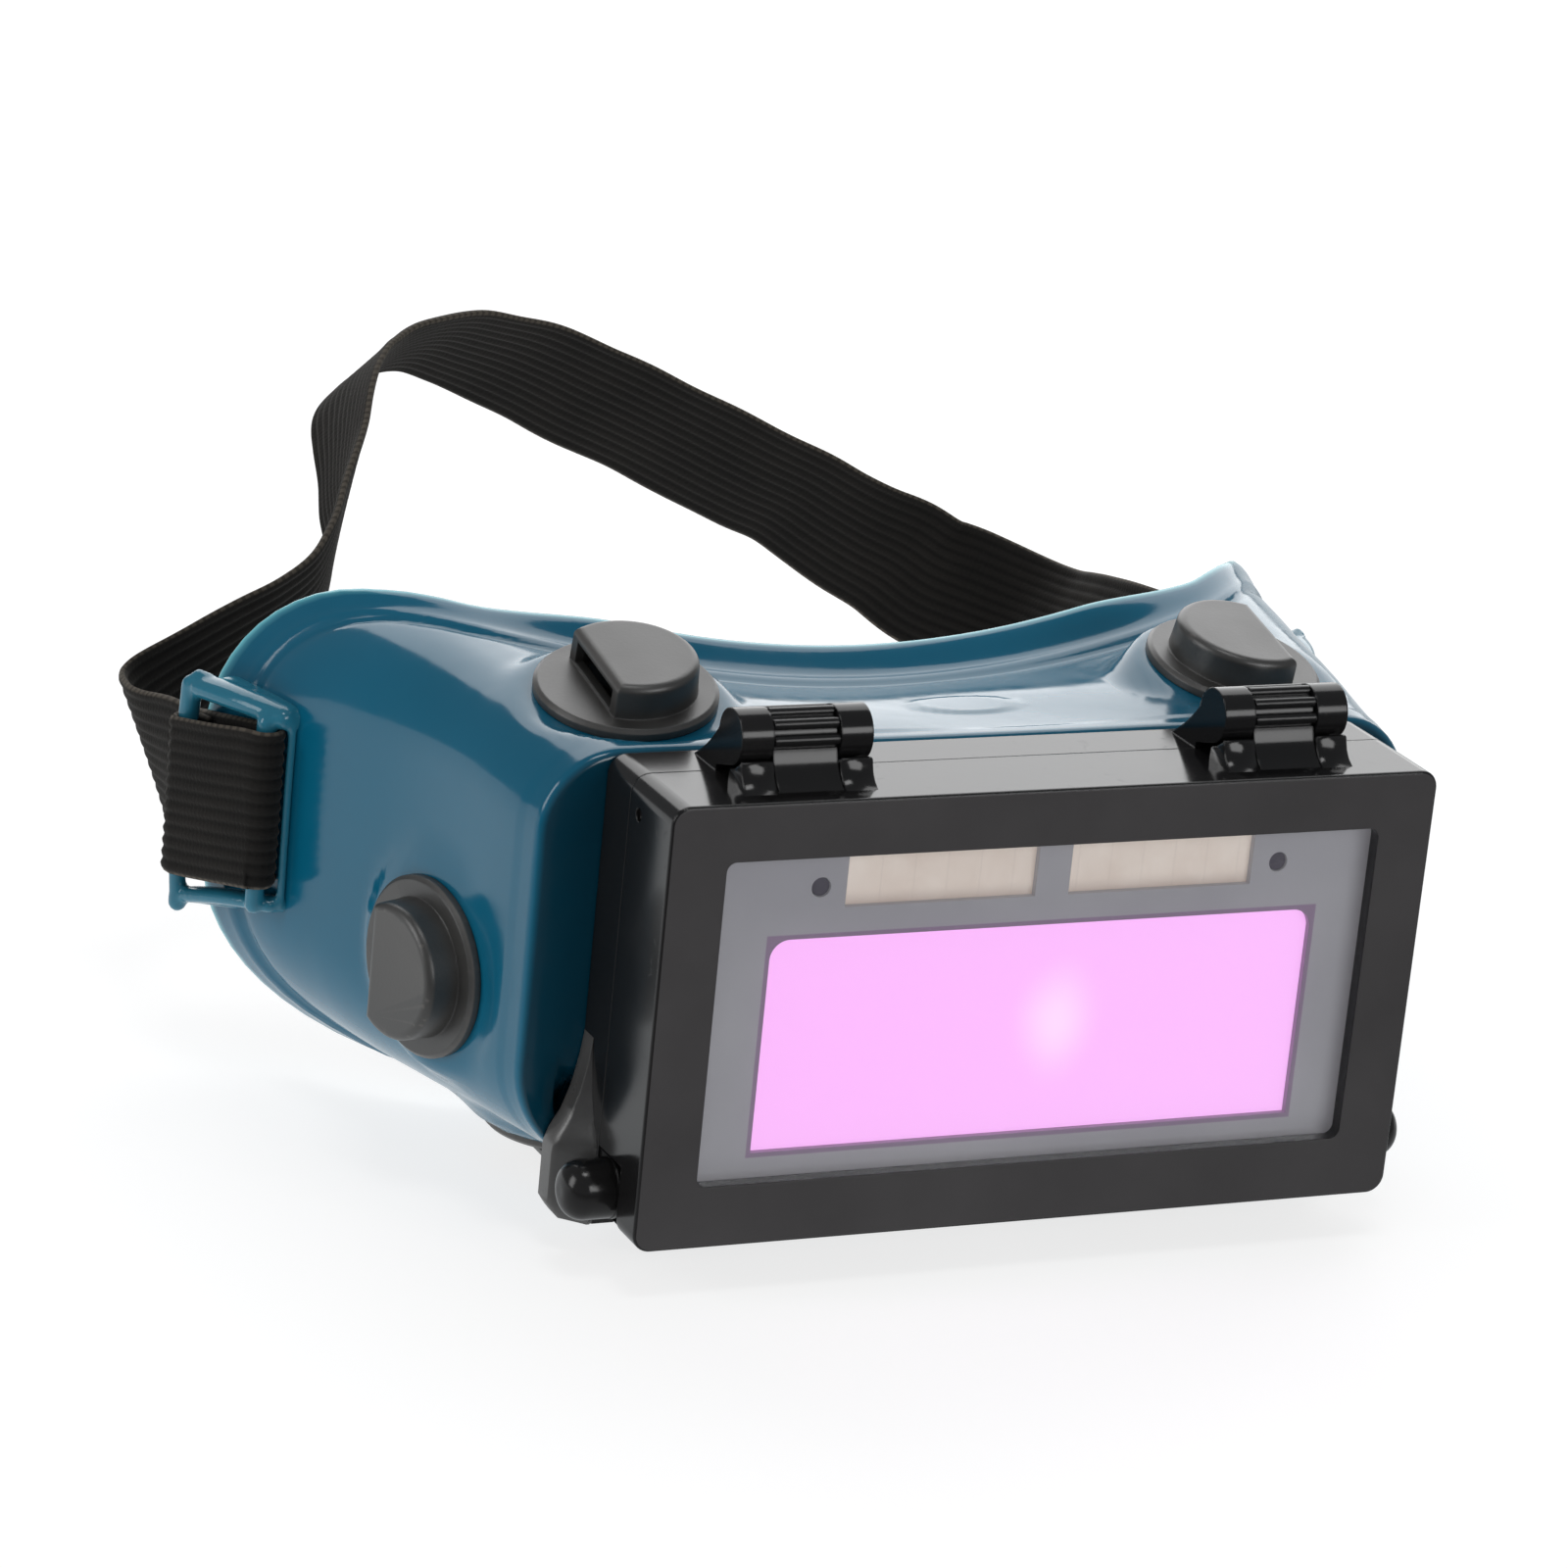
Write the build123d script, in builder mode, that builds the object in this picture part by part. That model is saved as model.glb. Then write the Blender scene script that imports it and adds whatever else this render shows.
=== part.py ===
from build123d import *
from math import cos, sin, pi, radians, hypot, sqrt
import os

os.makedirs("parts", exist_ok=True)

# Flip-front welding goggles with a solar auto-darkening filter.
# Frame: origin at the centre of the flip frame's front face, +X to the wearer's
# left side, +Y back towards the wearer's face, +Z up. Millimetres.

# ---------------------------------------------------------------- dimensions
# flip frame and rear housing
frame_w = 123.0            # outer width of both black frames
frame_h = 67.2             # outer height
frame_r = 2.8              # outer corner radius
flip_back = 14.95          # rear face of the flip frame
lip_t = 2.2                # front lip thickness
wall_t = 2.4               # outer wall thickness
window_w = 105.0           # front window
window_h = 49.2
window_z = 0.46            # window centre above the frame centre
window_r = 1.5

# standard filter format
filter_w = 108.0
filter_h = 51.0
pocket_gap = 0.3           # clearance around the filter, each side
rib_t = 1.6                # pocket wall

# stack inside the flip frame (front to back)
cover_y0, cover_y1 = 2.25, 3.25
case_y0, case_y1 = 3.30, 7.00
back_y0, back_y1 = 7.05, 8.80
inner_y0, inner_y1 = 8.85, 9.85
clip_y0, clip_y1 = 9.90, 12.90

# filter face openings
lcd_x, lcd_z, lcd_w, lcd_h = 0.85, -4.55, 87.7, 32.5
cell_z0, cell_z1 = 16.2, 25.2
cell_xl = (-32.0, -1.7)
cell_xr = (3.7, 33.6)
sensor_x = (-36.0, 38.0)
sensor_z = 19.4
sensor_r = 1.5

# rear housing
house_y0 = 15.05
house_y1 = 23.85
recess_y = 19.60           # floor of the clear lens recess
neck_w, neck_h = 112.6, 55.6
clear_w, clear_h = 103.0, 46.0
neck_y1 = 28.20
flange_y0 = 26.65
flange_w, flange_h = 116.6, 58.8

# hinges
hinge_y, hinge_z = 11.0, 40.0
knuckle_r = 4.1
pin_r = 1.25
pin_hole_r = 1.30
hinge_x = 38.6             # centre of each hinge from the middle
barrel_w = 10.0
ear_w = 5.0
ear_gap = 0.2
flute_n = 9

# side catch arms
catch_y, catch_z, catch_r = 11.5, -28.0, 4.5
catch_x = 68.6

# soft body
skin_t = 2.2
body_front = 24.05
# station: Y, half width, shoulder top, centre top, cheek bottom, centre bottom,
# top corner radius, bottom corner radius
body_stations = [
    (24.05, 67.8, 31.8, 31.8, -31.0, -31.0, 10.5, 10.5),
    (26.50, 70.6, 34.0, 33.6, -32.6, -32.5, 12.5, 12.8),
    (45.00, 74.3, 35.3, 32.2, -33.0, -28.8, 12.6, 15.0),
    (62.00, 77.9, 35.9, 29.7, -33.2, -19.5, 13.6, 17.8),
    (80.00, 83.3, 36.5, 28.0, -34.2, -8.0, 16.5, 21.5),
    (96.00, 88.7, 36.9, 27.5, -35.1, -2.0, 22.0, 25.5),
    (112.0, 91.2, 36.2, 27.5, -36.0, 0.0, 26.5, 28.0),
]
# rear rim in plan view: X, Y
rim_plan = [(0, 73.0), (20, 73.2), (40, 74.6), (60, 79.0), (70, 87.0), (78, 97.0), (85, 103.5), (92, 107.5), (104, 110.5)]
band_w = 7.5               # face flange width
band_t = 1.8               # how far the flange stands out

# vents
vent_r = 13.7
vent_t = 1.7
vent_neck_r = 9.0
vent_hole_r = 9.05
vent_hood_r = 10.6
vent_hood_h = 5.2
vent_seat_t = 3.4
vent_seat_r = 14.7
top_vent = (50.4, 45.2, 35.3)
top_vent_out = 4.0
top_vent_fwd = 12.0
bottom_vent = (49.2, 53.7, -33.7)
side_vent = (76.2, 50.0, -7.4)
side_tilt = 14.5           # flank angle, degrees

# strap lugs
lug_front = (88.9, 82.5)
lug_rear = (99.0, 106.2)
post_r = 1.6
web_t = 2.6

# webbing
strap_w = 25.0
strap_t = 1.4

# webbing stations along the head loop: centre X, Y, Z and the direction of the
# upper edge, from the left lug round the back of the head to the right lug
strap_stations = [
    (-90.00, 84.00, 5.99, -0.004, 0.007, 1.000),
    (-93.35, 90.95, 4.66, -0.014, 0.002, 1.000),
    (-95.38, 98.30, 2.88, -0.031, -0.003, 0.999),
    (-95.58, 106.00, 1.52, -0.047, -0.005, 0.998),
    (-94.18, 113.68, 1.40, -0.087, 0.002, 1.007),
    (-94.21, 121.24, 0.44, -0.231, -0.004, 0.965),
    (-94.01, 128.89, 0.12, -0.362, -0.003, 0.932),
    (-91.22, 136.08, 0.86, -0.439, 0.030, 0.896),
    (-85.46, 140.71, 3.10, -0.379, -0.056, 0.915),
    (-78.96, 143.31, 6.28, -0.337, -0.170, 0.922),
    (-72.39, 145.34, 9.72, -0.297, -0.286, 0.911),
    (-65.95, 147.85, 13.08, -0.242, -0.395, 0.887),
    (-60.22, 151.61, 16.60, -0.169, -0.484, 0.862),
    (-56.05, 157.01, 20.39, -0.136, -0.505, 0.853),
    (-52.74, 162.94, 24.26, -0.115, -0.516, 0.850),
    (-49.55, 168.91, 28.13, -0.062, -0.539, 0.840),
    (-47.40, 175.15, 32.12, 0.045, -0.567, 0.825),
    (-45.07, 181.35, 36.19, 0.115, -0.582, 0.805),
    (-42.56, 187.70, 39.84, 0.201, -0.599, 0.773),
    (-39.10, 193.91, 42.70, 0.316, -0.635, 0.710),
    (-33.32, 198.69, 44.79, 0.351, -0.660, 0.665),
    (-26.73, 202.67, 45.92, 0.381, -0.695, 0.606),
    (-19.67, 206.00, 45.63, 0.386, -0.710, 0.584),
    (-12.53, 208.26, 43.49, 0.386, -0.668, 0.632),
    (-5.31, 209.81, 41.01, 0.390, -0.620, 0.678),
    (1.82, 210.75, 37.96, 0.395, -0.585, 0.703),
    (8.87, 211.14, 34.62, 0.403, -0.556, 0.725),
    (16.03, 211.06, 31.47, 0.401, -0.559, 0.724),
    (23.15, 210.76, 28.24, 0.398, -0.568, 0.719),
    (30.21, 210.44, 24.90, 0.401, -0.557, 0.727),
    (37.24, 210.10, 21.48, 0.406, -0.541, 0.738),
    (44.32, 209.69, 18.18, 0.404, -0.547, 0.735),
    (51.47, 209.20, 15.05, 0.397, -0.558, 0.722),
    (58.17, 208.55, 11.14, 0.421, -0.499, 0.753),
    (64.91, 207.74, 7.39, 0.443, -0.414, 0.776),
    (71.73, 206.58, 4.07, 0.478, -0.295, 0.806),
    (77.98, 204.61, 0.13, 0.513, -0.157, 0.794),
    (84.39, 201.18, -2.11, 0.581, -0.018, 0.779),
    (89.27, 195.32, -3.41, 0.655, 0.050, 0.756),
    (91.57, 187.87, -3.49, 0.616, 0.038, 0.787),
    (92.24, 180.21, -2.61, 0.535, 0.038, 0.844),
    (92.53, 172.58, -1.43, 0.443, 0.043, 0.895),
    (93.24, 164.95, -0.39, 0.352, 0.040, 0.935),
    (94.44, 157.34, 0.45, 0.262, 0.029, 0.964),
    (95.68, 149.72, 1.15, 0.171, 0.017, 0.984),
    (96.20, 142.00, 1.49, 0.077, 0.011, 0.997),
]


def box_ring(width, height, r, y0, y1, z=0.0):
    """rounded slab between two Y planes"""
    with BuildPart() as slab:
        with BuildSketch(Plane(origin=(0, y0, z), x_dir=(1, 0, 0), z_dir=(0, 1, 0))):
            RectangleRounded(width, height, r)
        extrude(amount=y1 - y0)
    return slab.part


def front_plane(y, x=0.0, z=0.0):
    """plane facing +Y whose local x is -X"""
    return Plane(origin=(x, y, z), x_dir=(-1, 0, 0), z_dir=(0, 1, 0))


# ------------------------------------------------------------------ flip frame
with BuildPart() as flip_frame:
    with BuildSketch(front_plane(0)):
        RectangleRounded(frame_w, frame_h, frame_r)
    extrude(amount=flip_back)
    fillet(flip_frame.faces().sort_by(Axis.Y)[0].edges(), 0.5)
    # hollow behind the lip, outside the filter pocket
    with BuildSketch(front_plane(lip_t)):
        RectangleRounded(frame_w - 2 * wall_t, frame_h - 2 * wall_t, 1.2)
        with Locations((0, window_z)):
            RectangleRounded(filter_w + 2 * pocket_gap + 2 * rib_t, filter_h + 2 * pocket_gap + 2 * rib_t, 1.0, mode=Mode.SUBTRACT)
    extrude(amount=flip_back, mode=Mode.SUBTRACT)
    # filter pocket
    with BuildSketch(front_plane(lip_t)):
        with Locations((0, window_z)):
            Rectangle(filter_w + 2 * pocket_gap, filter_h + 2 * pocket_gap)
    extrude(amount=flip_back, mode=Mode.SUBTRACT)
    # window
    with BuildSketch(front_plane(-1)):
        with Locations((0, window_z)):
            RectangleRounded(window_w, window_h, window_r)
    extrude(amount=lip_t + 2, mode=Mode.SUBTRACT)
    # pocket wall ends short of the parting plane
    with BuildSketch(front_plane(13.4)):
        RectangleRounded(frame_w - 2 * wall_t, frame_h - 2 * wall_t, 1.2)
    extrude(amount=5, mode=Mode.SUBTRACT)
    # snap windows in the pocket wall for the retainer
    with BuildSketch(front_plane(10.7)):
        with Locations((-30, window_z), (30, window_z)):
            Rectangle(8.6, filter_h + 2 * pocket_gap + 2 * rib_t + 0.6)
    extrude(amount=1.7, mode=Mode.SUBTRACT)
    # catch notches in both flanks, open to the parting plane
    with BuildSketch(Plane.YZ.offset(-frame_w / 2 - 1)):
        with Locations(((catch_y + flip_back) / 2 + 0.1, catch_z - 0.15)):
            Rectangle(flip_back - catch_y + 10.0, 10.5)
    extrude(amount=frame_w + 2, mode=Mode.SUBTRACT)
    # small moulded dimples high on the flanks
    for sx in (-1, 1):
        with BuildSketch(Plane(origin=(sx * (frame_w / 2 - 0.7), 11.7, 28.6), x_dir=(0, 1, 0), z_dir=(sx, 0, 0))):
            Circle(1.0)
        extrude(amount=2, mode=Mode.SUBTRACT)
    # hinge tongues and fluted barrels
    for cx in (-hinge_x, hinge_x):
        with BuildSketch(Plane.YZ.offset(cx - barrel_w / 2)):
            with BuildLine():
                Polyline((2.6, frame_h / 2 - 0.6), (12.8, frame_h / 2 - 0.6), (12.8, hinge_z - 3.0), (hinge_y, hinge_z), (hinge_y - 3.4, hinge_z - 1.2))
                ThreePointArc((hinge_y - 3.4, hinge_z - 1.2), (6.2, 35.6), (2.6, frame_h / 2 - 0.6))
            make_face()
            with Locations((hinge_y, hinge_z)):
                Circle(knuckle_r - 0.85)
        extrude(amount=barrel_w)
        with BuildSketch(Plane.YZ.offset(cx - barrel_w / 2)):
            with Locations((hinge_y, hinge_z)):
                with PolarLocations(knuckle_r - 0.72, flute_n, start_angle=18, angular_range=360):
                    Circle(0.80)
        extrude(amount=barrel_w)
        with BuildSketch(Plane.YZ.offset(cx - barrel_w / 2 - 1)):
            with Locations((hinge_y, hinge_z)):
                Circle(pin_hole_r)
        extrude(amount=barrel_w + 2, mode=Mode.SUBTRACT)
flip_frame.part.label = "flip_frame"
export_step(flip_frame.part, "parts/flip_frame.step")

# ------------------------------------------------------------------ lens stack
with BuildPart() as front_cover_lens:
    with BuildSketch(front_plane(cover_y0, 0, window_z)):
        RectangleRounded(filter_w, filter_h, 1.0)
    extrude(amount=cover_y1 - cover_y0)
front_cover_lens.part.label = "front_cover_lens"
export_step(front_cover_lens.part, "parts/front_cover_lens.step")

with BuildPart() as filter_case_front:
    with BuildSketch(front_plane(case_y0, 0, window_z)):
        RectangleRounded(filter_w, filter_h, 1.0)
    extrude(amount=case_y1 - case_y0)
    with BuildSketch(front_plane(case_y0 + 1.0, 0, window_z)):
        Rectangle(filter_w - 2.4, filter_h - 2.4)
    extrude(amount=5, mode=Mode.SUBTRACT)
    # display opening: two opposite corners rounded, two nearly sharp
    with BuildSketch(Plane(origin=(0, case_y0 - 1, 0), x_dir=(1, 0, 0), z_dir=(0, -1, 0))) as lcd_cut:
        with Locations((lcd_x, lcd_z)):
            Rectangle(lcd_w, lcd_h)
        fillet([lcd_cut.vertices().sort_by(Axis.X)[:2].sort_by(Axis.Z)[-1], lcd_cut.vertices().sort_by(Axis.X)[-2:].sort_by(Axis.Z)[0]], 3.0)
    extrude(amount=-3, mode=Mode.SUBTRACT)
    # solar cell windows with bevelled lower and inner edges
    for (xa, xb) in (cell_xl, cell_xr):
        with BuildSketch(Plane(origin=((xa + xb) / 2, case_y0 - 1, (cell_z0 + cell_z1) / 2), x_dir=(1, 0, 0), z_dir=(0, -1, 0))):
            Rectangle(xb - xa, cell_z1 - cell_z0)
        extrude(amount=-3, mode=Mode.SUBTRACT)
    for sx in sensor_x:
        with BuildSketch(Plane(origin=(sx, case_y0 - 1, sensor_z), x_dir=(1, 0, 0), z_dir=(0, -1, 0))):
            Circle(sensor_r)
        extrude(amount=-3, mode=Mode.SUBTRACT)
filter_case_front.part.label = "filter_case_front"
export_step(filter_case_front.part, "parts/filter_case_front.step")

with BuildPart() as uv_ir_filter_glass:
    with BuildSketch(front_plane(case_y0 + 1.05, lcd_x, lcd_z)):
        RectangleRounded(92.0, 35.0, 0.8)
    extrude(amount=1.1)
uv_ir_filter_glass.part.label = "uv_ir_filter_glass"
export_step(uv_ir_filter_glass.part, "parts/uv_ir_filter_glass.step")

with BuildPart() as lcd_shutter:
    with BuildSketch(front_plane(case_y0 + 2.2, lcd_x, lcd_z)):
        RectangleRounded(92.0, 35.0, 0.8)
    extrude(amount=1.45)
lcd_shutter.part.label = "lcd_shutter"
export_step(lcd_shutter.part, "parts/lcd_shutter.step")

with BuildPart() as solar_cells:
    for (xa, xb) in (cell_xl, cell_xr):
        with BuildSketch(front_plane(case_y0 + 1.05, (xa + xb) / 2, (cell_z0 + cell_z1) / 2 - 0.45)):
            Rectangle(xb - xa + 0.8, cell_z1 - cell_z0 - 0.4)
        extrude(amount=0.4)
solar_cells.part.label = "solar_cells"
export_step(solar_cells.part, "parts/solar_cells.step")

with BuildPart() as light_sensors:
    for sx in sensor_x:
        with BuildSketch(front_plane(case_y0 + 0.35, sx, sensor_z)):
            Circle(sensor_r - 0.1)
        extrude(amount=1.6)
light_sensors.part.label = "light_sensors"
export_step(light_sensors.part, "parts/light_sensors.step")

with BuildPart() as control_board:
    with BuildSketch(front_plane(case_y0 + 2.0, 0.8, 19.3)):
        Rectangle(81.0, 10.4)
    extrude(amount=0.8)
    # driver chip and two small parts on the rear side
    with BuildSketch(front_plane(case_y0 + 2.8, 0.8, 19.3)):
        with Locations((0, 0), (14, 1), (-14, -1)):
            Rectangle(6.0, 4.0)
    extrude(amount=0.7)
control_board.part.label = "control_board"
export_step(control_board.part, "parts/control_board.step")

with BuildPart() as coin_cells:
    for sx in (-46.9, 47.6):
        with BuildSketch(front_plane(case_y0 + 1.1, sx, 19.6)):
            Circle(4.6)
        extrude(amount=2.1)
coin_cells.part.label = "coin_cells"
export_step(coin_cells.part, "parts/coin_cells.step")

with BuildPart() as filter_case_back:
    with BuildSketch(front_plane(back_y0, 0, window_z)):
        RectangleRounded(filter_w, filter_h, 1.0)
    extrude(amount=back_y1 - back_y0)
    with BuildSketch(front_plane(back_y0 - 1, lcd_x, lcd_z)):
        RectangleRounded(lcd_w, lcd_h, 2.0)
    extrude(amount=4, mode=Mode.SUBTRACT)
    # sensitivity thumb recess above the display opening
    with BuildSketch(front_plane(back_y0 + 1.0, 0, 19.0)):
        SlotOverall(26, 6)
    extrude(amount=2, mode=Mode.SUBTRACT)
filter_case_back.part.label = "filter_case_back"
export_step(filter_case_back.part, "parts/filter_case_back.step")

with BuildPart() as inner_cover_lens:
    with BuildSketch(front_plane(inner_y0, 0, window_z)):
        RectangleRounded(filter_w, filter_h, 1.0)
    extrude(amount=inner_y1 - inner_y0)
inner_cover_lens.part.label = "inner_cover_lens"
export_step(inner_cover_lens.part, "parts/inner_cover_lens.step")

with BuildPart() as filter_retainer:
    with BuildSketch(front_plane(clip_y0, 0, window_z)):
        RectangleRounded(filter_w + 0.3, filter_h + 0.3, 1.0)
        RectangleRounded(filter_w - 6.0, filter_h - 6.0, 1.5, mode=Mode.SUBTRACT)
    extrude(amount=clip_y1 - clip_y0)
    # four snap nibs that sit in the pocket wall windows
    with BuildSketch(front_plane(10.95)):
        for cx in (-30, 30):
            for s in (-1, 1):
                with Locations((cx, window_z + s * (filter_h / 2 + 0.5))):
                    Rectangle(8.0, 1.2)
    extrude(amount=1.2)
filter_retainer.part.label = "filter_retainer"
export_step(filter_retainer.part, "parts/filter_retainer.step")

# ---------------------------------------------------------------- rear housing
with BuildPart() as rear_housing:
    with BuildSketch(front_plane(house_y0)):
        RectangleRounded(frame_w, frame_h, frame_r)
    extrude(amount=house_y1 - house_y0)
    # skirt hollow seen from behind
    with BuildSketch(front_plane(house_y0 + 2.4)):
        RectangleRounded(frame_w - 2 * wall_t, frame_h - 2 * wall_t, 1.2)
        RectangleRounded(neck_w, neck_h, 1.5, mode=Mode.SUBTRACT)
    extrude(amount=10, mode=Mode.SUBTRACT)
    # neck and rear flange that hold the soft body
    with BuildSketch(front_plane(house_y0 + 1.0)):
        RectangleRounded(neck_w, neck_h, 1.5)
    extrude(amount=neck_y1 - house_y0 - 1.0)
    with BuildSketch(front_plane(flange_y0)):
        RectangleRounded(flange_w, flange_h, 2.0)
    extrude(amount=neck_y1 - flange_y0)
    # clear lens recess and sight opening
    with BuildSketch(front_plane(house_y0 - 1)):
        with Locations((0, window_z)):
            Rectangle(filter_w + 2 * pocket_gap, filter_h + 2 * pocket_gap)
    extrude(amount=recess_y - house_y0 + 1, mode=Mode.SUBTRACT)
    with BuildSketch(front_plane(house_y0 - 1)):
        with Locations((0, window_z)):
            RectangleRounded(clear_w, clear_h, 1.5)
    extrude(amount=30, mode=Mode.SUBTRACT)
    # lower corner lugs: the flank runs further back and lower than the frame
    for sx in (-1, 1):
        with BuildSketch(Plane.YZ.offset(sx * (frame_w / 2 - (0 if sx < 0 else 3.4)))):
            with BuildLine():
                Polyline((house_y0, -24.0), (house_y0, -35.2), (19.0, -36.6), (24.5, -36.9), (27.6, -35.9), (29.4, -33.0), (29.6, -28.5))
                ThreePointArc((29.6, -28.5), (25.7, -24.2), (house_y1, -19.0))
                Polyline((house_y1, -19.0), (house_y0 + 3, -19.0), (house_y0, -24.0))
            make_face()
        extrude(amount=3.4)
    # flared gussets that stand in front of the soft body's lower corners
    for sx in (-1, 1):
        with BuildSketch(Plane.XZ.offset(-23.85)):
            with BuildLine():
                Polyline((sx * 60.5, -9.0), (sx * 61.45, -12.0), (sx * 63.4, -20.5), (sx * 66.2, -25.2), (sx * 66.5, -33.6), (sx * 64.6, -36.2), (sx * 60.5, -36.2), (sx * 60.5, -9.0))
            make_face()
        extrude(amount=3.3)
    # catch arms reaching forward into the flip frame's notches, with round thumb knobs
    for sx in (-1, 1):
        with BuildSketch(Plane.YZ.offset(sx * 61.2 - (2.2 if sx > 0 else 0))):
            with Locations(((catch_y + house_y0 + 1) / 2, catch_z)):
                Rectangle(house_y0 + 1 - catch_y, 9.2)
            with Locations((catch_y, catch_z)):
                Circle(4.6)
        extrude(amount=2.2)
        with BuildSketch(Plane(origin=(sx * 59.5, catch_y, catch_z), x_dir=(0, 1, 0), z_dir=(sx, 0, 0))):
            Circle(catch_r)
        extrude(amount=catch_x - 59.5)
        fillet(rear_housing.faces().filter_by(Axis.X).sort_by(Axis.X)[-1 if sx > 0 else 0].edges(), 3.4)
    # hinge ears with webs running down to the housing top
    for cx in (-hinge_x, hinge_x):
        for s in (-1, 1):
            x0 = cx + s * (barrel_w / 2 + ear_gap + ear_w / 2) - ear_w / 2
            with BuildSketch(Plane.YZ.offset(x0)):
                with BuildLine():
                    Polyline((hinge_y - 1.2, hinge_z - 3.92), (house_y0, frame_h / 2 + 0.9), (house_y0, frame_h / 2 - 2.0), (22.6, frame_h / 2 - 2.0), (22.6, frame_h / 2 + 0.1))
                    ThreePointArc((22.6, frame_h / 2 + 0.1), (17.6, 37.4), (hinge_y + 1.6, hinge_z + 3.77))
                    Line((hinge_y + 1.6, hinge_z + 3.77), (hinge_y - 1.2, hinge_z - 3.92))
                make_face()
                with Locations((hinge_y, hinge_z)):
                    Circle(knuckle_r)
            extrude(amount=ear_w)
        # pin bore: blind in one outer ear, open at the other end
        with BuildSketch(Plane.YZ.offset(cx - barrel_w / 2 - ear_gap - ear_w + 0.9)):
            with Locations((hinge_y, hinge_z)):
                Circle(pin_hole_r)
        extrude(amount=barrel_w + 2 * ear_gap + 2 * ear_w + 2, mode=Mode.SUBTRACT)
        # slot for the detent leaf
        with BuildSketch(Plane.XY.offset(frame_h / 2 - 2.3)):
            with Locations((cx, 17.75)):
                Rectangle(8.4, 0.7)
        extrude(amount=6, mode=Mode.SUBTRACT)
rear_housing.part.label = "rear_housing"
export_step(rear_housing.part, "parts/rear_housing.step")

with BuildPart() as lens_gasket:
    with BuildSketch(front_plane(recess_y - 0.55, 0, window_z)):
        Rectangle(filter_w, filter_h)
        RectangleRounded(clear_w + 0.6, clear_h + 0.6, 1.5, mode=Mode.SUBTRACT)
    extrude(amount=0.5)
lens_gasket.part.label = "lens_gasket"
export_step(lens_gasket.part, "parts/lens_gasket.step")

with BuildPart() as fixed_clear_lens:
    with BuildSketch(front_plane(17.0, 0, window_z)):
        RectangleRounded(filter_w, filter_h, 0.8)
    extrude(amount=2.0)
fixed_clear_lens.part.label = "fixed_clear_lens"
export_step(fixed_clear_lens.part, "parts/fixed_clear_lens.step")

with BuildPart() as clear_lens_retainer:
    with BuildSketch(front_plane(15.35, 0, window_z)):
        RectangleRounded(filter_w + 0.4, filter_h + 0.4, 0.8)
        RectangleRounded(clear_w, clear_h, 1.5, mode=Mode.SUBTRACT)
    extrude(amount=1.6)
clear_lens_retainer.part.label = "clear_lens_retainer"
export_step(clear_lens_retainer.part, "parts/clear_lens_retainer.step")

# ------------------------------------------------------------ hinge pins, leaves
with BuildPart() as hinge_pin_left:
    with BuildSketch(Plane.YZ.offset(-hinge_x - barrel_w / 2 - ear_gap - ear_w + 1.0)):
        with Locations((hinge_y, hinge_z)):
            Circle(pin_r)
    extrude(amount=barrel_w + 2 * ear_gap + 2 * ear_w - 1.3)
hinge_pin_left.part.label = "hinge_pin_left"
export_step(hinge_pin_left.part, "parts/hinge_pin_left.step")

with BuildPart() as hinge_pin_right:
    with BuildSketch(Plane.YZ.offset(hinge_x - barrel_w / 2 - ear_gap - ear_w + 1.0)):
        with Locations((hinge_y, hinge_z)):
            Circle(pin_r)
    extrude(amount=barrel_w + 2 * ear_gap + 2 * ear_w - 1.3)
hinge_pin_right.part.label = "hinge_pin_right"
export_step(hinge_pin_right.part, "parts/hinge_pin_right.step")

with BuildPart() as detent_leaves:
    for cx in (-hinge_x, hinge_x):
        with BuildSketch(Plane.YZ.offset(cx - 4.0)) as leaf:
            with BuildLine():
                Polyline((17.55, 31.45), (17.95, 31.45), (17.95, 35.2), (16.0, 39.0), (15.95, 41.4), (15.55, 41.4), (15.58, 38.9), (17.55, 35.0), (17.55, 31.45))
            make_face()
        extrude(amount=8.0)
detent_leaves.part.label = "detent_leaves"
export_step(detent_leaves.part, "parts/detent_leaves.step")


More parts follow.
